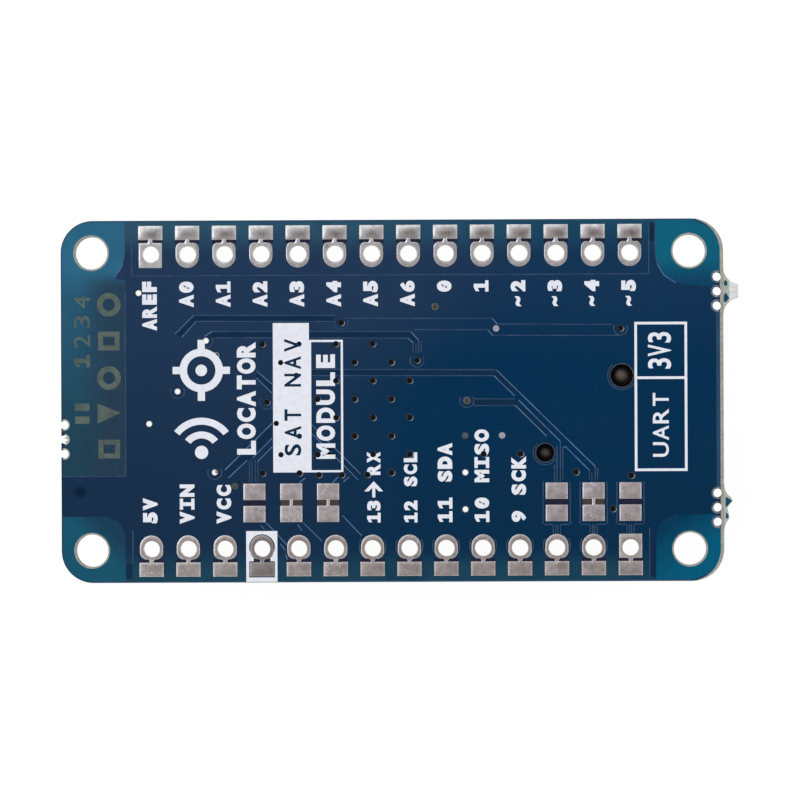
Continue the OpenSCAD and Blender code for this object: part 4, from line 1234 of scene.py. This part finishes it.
soft_lines, lit_lines = [], []
for trace in TRACES + POUR_EDGES + tuple(edge for edges in GAP_TRACES for edge in edges):
    for a, b in zip(trace, trace[1:]):
        (lit_lines if is_slanted(a, b) else soft_lines).append((a, b))
for via in ISLAND_VIAS:
    soft_lines.append(arc(via, ISLAND_R, *ISLAND_TURNS))
for i in FRAMED_JUMPERS:
    for side in (-1, 1):
        for line in FRAME_LINES:
            soft_lines.append([(jumper_x(i) + side * x, y) for x, y in line])
for i in RINGED_COLUMNS:
    for turn in RINGED_STARTS:
        centre = (column_x(i), -ROW_Y + LAND_REACH - LAND_HALF)
        soft_lines.append(arc(centre, LAND_HALF + RINGED_GAP, turn, turn + RINGED_TURN, 8))
for x, y, r in PEG_HOLES:
    soft_lines.append(arc((x, y), r + PEG_RING_GAP, *PEG_RING_TURNS))
# Ridges along traces, pour edges, via islands, jumper frames and round lands and peg holes, paler than the
# mask: painted highlights
ribbons("soft_trace_edges", soft_lines, RIDGE_W, 0, RIDGE_TOP, RIDGE_SHEEN)
ribbons("lit_trace_edges", lit_lines, RIDGE_W, 0, LIT_TOP, BRIGHT_RIDGE)


# White ink

GLYPHS = {}
CAP = 0.72
SLAB_I = [(0, 0), (0.60, 0), (0.60, 0.16), (0.40, 0.16), (0.40, 0.56), (0.60, 0.56), (0.60, 0.72), (0, 0.72),
          (0, 0.56), (0.20, 0.56), (0.20, 0.16), (0, 0.16)]
SLAB_ONE = [(0, 0), (0.60, 0), (0.60, 0.16), (0.42, 0.16), (0.42, 0.72), (0.24, 0.72), (0.02, 0.62),
            (0.02, 0.45), (0.21, 0.53), (0.21, 0.16), (0, 0.16)]
DRAWN = {"I": SLAB_I, "1": SLAB_ONE}
WIDE = "AVMNOKXDUR"
WIDE_SHARE = 1.12
TILDE_SHARE = 0.88
MOST_SHARE = 0.98
TILDE_TALL = 0.78
TILDE_DROP = 0.12
SLASH_LEAN = 0.10
SLASH_RISE = 0.19
SLASH_HALF = 0.045


def glyph(letter, bold):
    """A letter as a plate, with its foot on y = 0."""
    key = (letter, bold)
    if key not in GLYPHS:
        if letter in DRAWN:
            bm = bmesh.new()
            prism(bm, DRAWN[letter], 0, 1)
            mesh = bpy.data.meshes.new("glyph")
            bm.to_mesh(mesh)
            bm.free()
        else:
            curve = bpy.data.curves.new("glyph", "FONT")
            curve.body = letter
            curve.offset = bold
            curve.extrude = 0.5
            curve.resolution_u = 4
            holder = linked("glyph", curve)
            mesh = settled(holder)
            bpy.data.objects.remove(holder)
        GLYPHS[key] = mesh
    return GLYPHS[key]


def write(bm, words, x, y, cap, pitch, bold=0.06, fill=0.82, low=0.0, high=INK_TOP, weights=()):
    """Adds words that read upwards, their letters centred on x, each in a cell of `pitch` from y on."""
    for i, letter in enumerate(words):
        if letter == " ":
            continue
        mesh = glyph(letter, bold + sum(added for letters, added in weights if letter in letters))
        xs = [v.co.x for v in mesh.vertices]
        ys = [v.co.y for v in mesh.vertices]
        zs = [v.co.z for v in mesh.vertices]
        share = WIDE_SHARE if letter in WIDE else TILDE_SHARE if letter == "~" else 1.0
        stretch = pitch * min(fill * share, MOST_SHARE) / (max(xs) - min(xs))
        tall = cap / (max(ys) - min(ys))
        foot = min(ys)
        drop = 0.0
        if letter == "~":
            tall = TILDE_TALL * cap / CAP
            foot = (max(ys) + min(ys)) / 2 - cap / 2 / tall
            drop = TILDE_DROP
        middle = (max(xs) + min(xs)) / 2
        cell = y + (i + 0.5) * pitch
        start = len(bm.verts)
        bm.from_mesh(mesh)
        bm.verts.ensure_lookup_table()
        for v in bm.verts[start:]:
            along = (v.co.x - middle) * stretch + cell - drop
            level = (v.co.z - min(zs)) / (max(zs) - min(zs))
            v.co = Vector((x + cap / 2 - (v.co.y - foot) * tall, along, low + level * (high - low)))
        if letter == "0":
            lean = SLASH_LEAN * pitch
            rise = SLASH_RISE * cap
            prism(bm, [(x + rise, cell - lean - SLASH_HALF), (x + rise, cell - lean + SLASH_HALF),
                       (x - rise, cell + lean + SLASH_HALF), (x - rise, cell + lean - SLASH_HALF)], low, high)


UPPER_LABELS = ("AREF", "A0", "A1", "A2", "A3", "A4", "A5", "A6", "0", "1", "~2", "~3", "~4", "~5")
LOWER_LABELS = {0: "5V", 1: "VIN", 2: "VCC", 6: "13", 7: "12 SCL", 8: "11 SDA", 9: "10 MISO", 10: "9 SCK"}
LABEL_SHIFT = -0.07
LABEL_CAP = 1.015
LABEL_BOLD = 0.074
LABEL_WEIGHTS = (("04ADVX", 0.022), ("69RS", -0.014))
LABEL_PITCH = 0.93
UPPER_PITCH = 0.945
LONG_PITCH = 0.872
TIGHT_CAP = 0.93
TIGHT_PITCH = 0.83
TIGHT_COLUMNS = (6, 7)
TIGHT_SHIFT = 0.10
ARROW_TIP = -5.535
ARROW_HALF = [(0.105, -1.115), (0.105, -0.455), (0.36, -0.705), (0.655, -0.695), (0.0, 0.0)]
RECEIVE_START = -5.14
UPPER_LABEL_END = 8.36
LOWER_LABEL_START = -8.46


def labels(bm):
    """The names of the header holes, and an arrow to one of them."""
    for i, words in enumerate(UPPER_LABELS):
        pitch = LONG_PITCH if len(words) > 2 else UPPER_PITCH
        write(bm, words, column_x(i) + LABEL_SHIFT, UPPER_LABEL_END - len(words) * pitch, LABEL_CAP, pitch,
              LABEL_BOLD, weights=LABEL_WEIGHTS)
    for i, words in LOWER_LABELS.items():
        if i in TIGHT_COLUMNS:
            write(bm, words, column_x(i) + TIGHT_SHIFT, LOWER_LABEL_START, TIGHT_CAP, TIGHT_PITCH)
        else:
            write(bm, words, column_x(i) + LABEL_SHIFT, LOWER_LABEL_START, LABEL_CAP, LABEL_PITCH, LABEL_BOLD,
                  weights=LABEL_WEIGHTS)
    x = column_x(TIGHT_COLUMNS[0]) + TIGHT_SHIFT
    prism(bm, [(x + dx, ARROW_TIP + dy) for dx, dy in ARROW_HALF]
          + [(x - dx, ARROW_TIP + dy) for dx, dy in ARROW_HALF[-2::-1]], 0, INK_TOP)
    write(bm, "RX", x, RECEIVE_START, TIGHT_CAP, TIGHT_PITCH, LABEL_BOLD, weights=LABEL_WEIGHTS)


# Boxes as left, lower, right and upper bounds
BLOCK = (-8.09, -4.91, -5.60, 5.39)
OUTLINED_BOX = (-5.60, -4.91, -3.26, 4.22)
OUTLINE_W = 0.15
CELLS = (16.82, -4.91, 20.45, 5.37)
CELL_SPLIT_Y = 1.52
CELL_LINE_W = 0.18
LAND_BOX = (-9.98, -12.44, -7.83, -8.94)
RING_GAP = 0.095
RING_UP = 0.115
WAIST = 0.58
EDGE_GAP_X = 0.05
EDGE_GAP_Y = 0.07


def panels(bm):
    """The filled block, the outlined box beside it, the two-cell frame and the boxed header land."""
    prism(bm, box(*BLOCK), 0, INK_TOP)
    frame_plate(bm, OUTLINED_BOX, OUTLINE_W, 0, INK_TOP)
    x0, y0, x1, y1 = CELLS
    lower_cell = box(x0 + CELL_LINE_W, y0 + CELL_LINE_W, x1 - CELL_LINE_W, CELL_SPLIT_Y - CELL_LINE_W / 2)
    upper_cell = box(x0 + CELL_LINE_W, CELL_SPLIT_Y + CELL_LINE_W / 2, x1 - CELL_LINE_W, y1 - CELL_LINE_W)
    prism(bm, box(*CELLS), 0, INK_TOP, [lower_cell, upper_cell])
    x = column_x(BOXED_COLUMN)
    around = LAND_HALF + RING_GAP
    turn = math.degrees(math.acos(WAIST / around))
    wide = EDGE_LAND_HALF + EDGE_GAP_X
    land_y = -ROW_Y - EDGE_LAND_Y + EDGE_GAP_Y
    end_y = -ROW_Y - EDGE_LAND_Y - EDGE_LAND_L - EDGE_GAP_Y
    hole = arc((x, -ROW_Y + RING_UP), around, -turn, 180 + turn, 40)
    hole += [(x - WAIST, land_y), (x - wide, land_y), (x - wide, end_y)]
    hole += [(x + wide, end_y), (x + wide, land_y), (x + WAIST, land_y)]
    prism(bm, box(*LAND_BOX), 0, INK_TOP, [hole])


# Words, place, height, pitch, weight and the share of its cell that a letter fills
INK_WORDS = (
    ("LOCATOR", -9.93, -3.75, 1.30, 1.125, 0.06, 0.85), ("MODULE", -4.46, -4.07, 1.30, 1.24, 0.055, 0.76),
    ("UART", 18.62, -4.0, 1.10, 1.15, 0.012, 0.78), ("3V3", 18.55, 2.05, 1.60, 0.90, 0.02, 0.80),
)
OPEN_WORDS = ("SAT NAV", -6.73, -3.95, 1.15, 1.20, 0.022, 0.66)
OPEN_LOW = 0.016
OPEN_HIGH = 0.021
COPPER_WORDS = ("1234", -21.25, 2.15, 1.10, 1.35, 0.0, 0.62)


def ink_words(bm):
    """Words in white ink."""
    for entry in INK_WORDS:
        write(bm, *entry)


def open_words(bm):
    """Words left open in the filled block."""
    write(bm, *OPEN_WORDS, OPEN_LOW, OPEN_HIGH)


SIGN_X = -13.03
SIGHT_Y = 2.15
SIGHT_R = 1.50
SIGHT_INNER_R = 0.98
SIGHT_DOT_R = 0.40
TICK_START = 1.44
TICK_END_X = 1.98
TICK_END_Y = 2.10
TICK_HALF = 0.25
BEACON_Y = -3.50
BEACON_R = 0.46
WAVES = (1.20, 2.15)
WAVE_HALF = 0.24
WAVE_TURNS = (38, 142, 24)


def sight_sign(bm):
    """A sight with four ticks over a beacon with two waves."""
    ring_plate(bm, (SIGN_X, SIGHT_Y), SIGHT_R, SIGHT_INNER_R, 0, INK_TOP, ROUND_STEPS)
    prism(bm, circle((SIGN_X, SIGHT_Y), SIGHT_DOT_R, 24), 0, INK_TOP)
    for side in (1, -1):
        x = SIGN_X + side * (TICK_START + TICK_END_X) / 2
        y = SIGHT_Y + side * (TICK_START + TICK_END_Y) / 2
        prism(bm, pad(x, SIGHT_Y, (TICK_END_X - TICK_START) / 2, TICK_HALF), 0, TICK_TOP)
        prism(bm, pad(SIGN_X, y, TICK_HALF, (TICK_END_Y - TICK_START) / 2), 0, TICK_TOP)
    prism(bm, circle((SIGN_X, BEACON_Y), BEACON_R, 24), 0, INK_TOP)
    for r in WAVES:
        prism(bm, band((SIGN_X, BEACON_Y), r + WAVE_HALF, r - WAVE_HALF, *WAVE_TURNS), 0, INK_TOP)


MARK_LOW = 0.003
MARK_X = -19.40
MARK_RINGS = (6.70, 1.65)
MARK_RING_R = 0.82
MARK_RING_INNER_R = 0.42
MARK_SQUARES = ((-20.15, 3.55, -18.65, 4.85), (-20.15, -3.90, -18.65, -2.60))
MARK_SQUARE_W = 0.35
MARK_PLATES = (
    ((-20.2, -0.1), (-18.6, -0.75), (-20.2, -1.5)), box(-21.75, -0.6, -20.75, -0.1),
    box(-21.75, -1.5, -20.75, -1.0),
)


def copper_marks(bm):
    """Layer numbers and plain shapes in copper, seen through the mask of the left end."""
    write(bm, *COPPER_WORDS, MARK_LOW, NOTCH_TOP)
    for y in MARK_RINGS:
        ring_plate(bm, (MARK_X, y), MARK_RING_R, MARK_RING_INNER_R, MARK_LOW, NOTCH_TOP, 40, 32)
    for bounds in MARK_SQUARES:
        frame_plate(bm, bounds, MARK_SQUARE_W, MARK_LOW, NOTCH_TOP)
    for outline in MARK_PLATES:
        prism(bm, outline, MARK_LOW, NOTCH_TOP)


PEG_RIM_W = 0.07


def peg_rims(bm):
    """Scraped mask round the two peg holes."""
    for x, y, r in PEG_HOLES:
        ring_plate(bm, (x, y), r + PEG_RIM_W, r + CUT_CLEAR, 0, ZONE_TOP, 40)


face_pieces(
    ("pin_labels", INK, labels), ("ink_panels", INK, panels), ("ink_words", INK, ink_words),
    ("open_words", CHANNEL, open_words), ("sight_sign", INK, sight_sign),
    ("copper_marks", OLD_COPPER, copper_marks), ("peg_hole_rims", RIM, peg_rims))


# Vias


VIA_STEPS = 20
DISC_LOW = -0.3


def disc(r, high):
    """A flat disc in a via."""
    bm = bmesh.new()
    prism(bm, circle((0, 0), r, VIA_STEPS), DISC_LOW, high)
    return mesh_of(bm, "disc")


def turned(profile):
    """A closed ring from an outline of (radius, z) points."""
    bm = bmesh.new()
    loft(bm, [[(x, y, z) for x, y in circle((0, 0), r, VIA_STEPS)] for r, z in profile])
    return mesh_of(bm, "turned", smooth_below=40)


def crescent(r, reach, turn, high):
    """A sliver of a ring, widest towards `turn` degrees."""
    outer = arc(polar((0, 0), reach, math.radians(turn)), r, turn - 88, turn + 88, 14)
    inner = arc((0, 0), r, turn + 84, turn - 84, 14)
    bm = bmesh.new()
    prism(bm, outer + inner, 0, high)
    return mesh_of(bm, "crescent")


ALL_VIAS = STITCH_VIAS + SIGNAL_VIAS
INKED_VIAS = [p for p in ALL_VIAS if BLOCK[0] < p[0] < BLOCK[2] and BLOCK[1] < p[1] < BLOCK[3]]
OPEN_VIAS = [p for p in ALL_VIAS if p not in INKED_VIAS]
OTHER_VIAS = CLEAR_VIAS + FILLED_VIAS + DIM_VIAS + DULL_VIAS + GREEN_VIAS
DARK_VIAS = [p for p in OPEN_VIAS if not near(p, OTHER_VIAS)]
PLATED_VIAS = [p for p in ALL_VIAS if not near(p, CLEAR_VIAS)]
VIA_R = 0.175
VIA_OUTER_R = 0.215
VIA_RISE = 0.006
# Outlines of rings as radii and heights
VIA_TUBE = ((VIA_R, VIA_RISE), (VIA_R, -BOARD_T - VIA_RISE), (VIA_OUTER_R, -BOARD_T - VIA_RISE),
            (VIA_OUTER_R, VIA_RISE))
VIA_LIP = ((0.33, 0.0), (0.31, 0.004), (0.24, 0.006), (0.22, 0.006), (0.205, 0.0))
UNDER_LIP = ((0.36, -BOARD_T), (0.33, -BOARD_T - 0.012), (0.28, -BOARD_T - 0.022), (0.215, -BOARD_T - 0.008),
             (0.205, -BOARD_T))
GLINT_REACH = 0.055
GLINT_TURN = -35
GLINT_TOP = 0.008
SHADE_DISC_R = 0.205
INKED_SHADE_DISC_R = 0.185
FILL_R = 0.22
DIM_FILL_R = 0.21
COVER_R = 0.19
STAINED_PLUG_R = 0.15
STAINED_RING = ((0.27, 0.0), (0.25, 0.012), (0.17, 0.012), (0.14, 0.004), (0.14, 0.0))

tubes = copies("via_tubes", turned(VIA_TUBE), PLATED_VIAS, PLATING, "via_plating")
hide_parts("via_barrels")
copies("clear_via_tubes", turned(VIA_TUBE), CLEAR_VIAS, CLEAR_PLATING, "via_plating")
copies("via_lips", turned(VIA_LIP), OPEN_VIAS, LIP, "solder_mask_board")
copies("under_via_lips", turned(UNDER_LIP), ALL_VIAS, LIP, "solder_mask_board")
copies("via_glints", crescent(SHADE_DISC_R, GLINT_REACH, GLINT_TURN, GLINT_TOP), DARK_VIAS, GLINT,
       "solder_mask_board")
# Black discs in the dark vias: painted shade in their holes
copies("via_plugs", disc(SHADE_DISC_R, SHADE_TOP), DARK_VIAS, SHADE_DISC, "via_plating")
copies("inked_via_plugs", disc(INKED_SHADE_DISC_R, SHADE_TOP), INKED_VIAS, SHADE_DISC, "via_plating")
copies("filled_vias", disc(FILL_R, FILL_TOP), FILLED_VIAS, FILL, "tin")
copies("dim_filled_vias", disc(DIM_FILL_R, PLUG_TOP), DIM_VIAS, DIM_FILL, "tin")
copies("covered_vias", disc(COVER_R, PLUG_TOP), GREEN_VIAS, GREEN_FILL, "via_plating")
copies("stained_vias", turned(STAINED_RING), DULL_VIAS, DULL_FILL, "via_plating")
copies("stained_via_plugs", disc(STAINED_PLUG_R, RING_TOP), DULL_VIAS, SLOT, "via_plating")


# Stage

FLOOR_Z = -7.95
FLOOR_HALF = 2.0
FLOOR_WHITE = 0.9
FLOOR_GLOW = 1.07
FLOOR_GLOW_SHARE = 0.88


def white_floor():
    """A plain white floor that glows in what the camera and mirrors see, and is matt to other light."""
    mesh = bpy.data.meshes.new("floor")
    corners = box(-FLOOR_HALF, -FLOOR_HALF, FLOOR_HALF, FLOOR_HALF)
    mesh.from_pydata([(x, y, FLOOR_Z * MM) for x, y in corners], [], [(0, 1, 2, 3)])
    floor = linked("floor", mesh)
    paint = bpy.data.materials.new("white_floor")
    paint.use_nodes = True
    tree = paint.node_tree
    tree.nodes.clear()
    end = tree.nodes.new("ShaderNodeOutputMaterial")
    path = tree.nodes.new("ShaderNodeLightPath")
    seen = tree.nodes.new("ShaderNodeMath")
    seen.operation = "MAXIMUM"
    shiny = tree.nodes.new("ShaderNodeMath")
    shiny.operation = "MAXIMUM"
    share = tree.nodes.new("ShaderNodeMath")
    share.operation = "MULTIPLY"
    share.inputs[1].default_value = FLOOR_GLOW_SHARE
    matt = tree.nodes.new("ShaderNodeBsdfDiffuse")
    matt.inputs["Color"].default_value = (FLOOR_WHITE, FLOOR_WHITE, FLOOR_WHITE, 1)
    glow = tree.nodes.new("ShaderNodeEmission")
    glow.inputs["Strength"].default_value = FLOOR_GLOW
    both = tree.nodes.new("ShaderNodeMixShader")
    wire(tree, (path, "Is Camera Ray", seen, 0), (path, "Is Glossy Ray", shiny, 0),
         (path, "Is Transmission Ray", shiny, 1), (shiny, 0, seen, 1), (seen, 0, share, 0),
         (share, 0, both, "Fac"), (matt, "BSDF", both, 1), (glow, "Emission", both, 2),
         (both, "Shader", end, "Surface"))
    mesh.materials.append(paint)


white_floor()


def lamp(name, place, size, power):
    """A square soft lamp that points at the part; places are in metres."""
    data = bpy.data.lights.new(name, "AREA")
    data.energy = power
    data.shape = "SQUARE"
    data.size = size
    made = linked(name, data)
    made.location = place
    made.rotation_euler = (-Vector(place)).to_track_quat("-Z", "Y").to_euler()


lamp("left_softbox", place=(-0.42, 0.27, 0.42), size=0.70, power=3.0)
lamp("right_softbox", place=(0.45, -0.10, 0.36), size=0.45, power=0.9)

SKY = 0.46
world = bpy.data.worlds.new("studio")
SCENE.world = world
world.use_nodes = True
world.node_tree.nodes["Background"].inputs["Color"].default_value = (1, 1, 1, 1)
world.node_tree.nodes["Background"].inputs["Strength"].default_value = SKY

LENS_MM = 391.94
SENSOR_MM = 36
CAMERA_PLACE = (0.01113, -0.00114, 0.600)
CAMERA_TURN = (0.11, 1.0, -0.23)
camera_data = bpy.data.cameras.new("camera")
camera_data.lens = LENS_MM
camera_data.sensor_width = SENSOR_MM
camera_data.clip_start = 0.01
camera = linked("camera", camera_data)
camera.location = CAMERA_PLACE
camera.rotation_euler = [math.radians(angle) for angle in CAMERA_TURN]
SCENE.camera = camera
SCENE.view_settings.view_transform = "Standard"
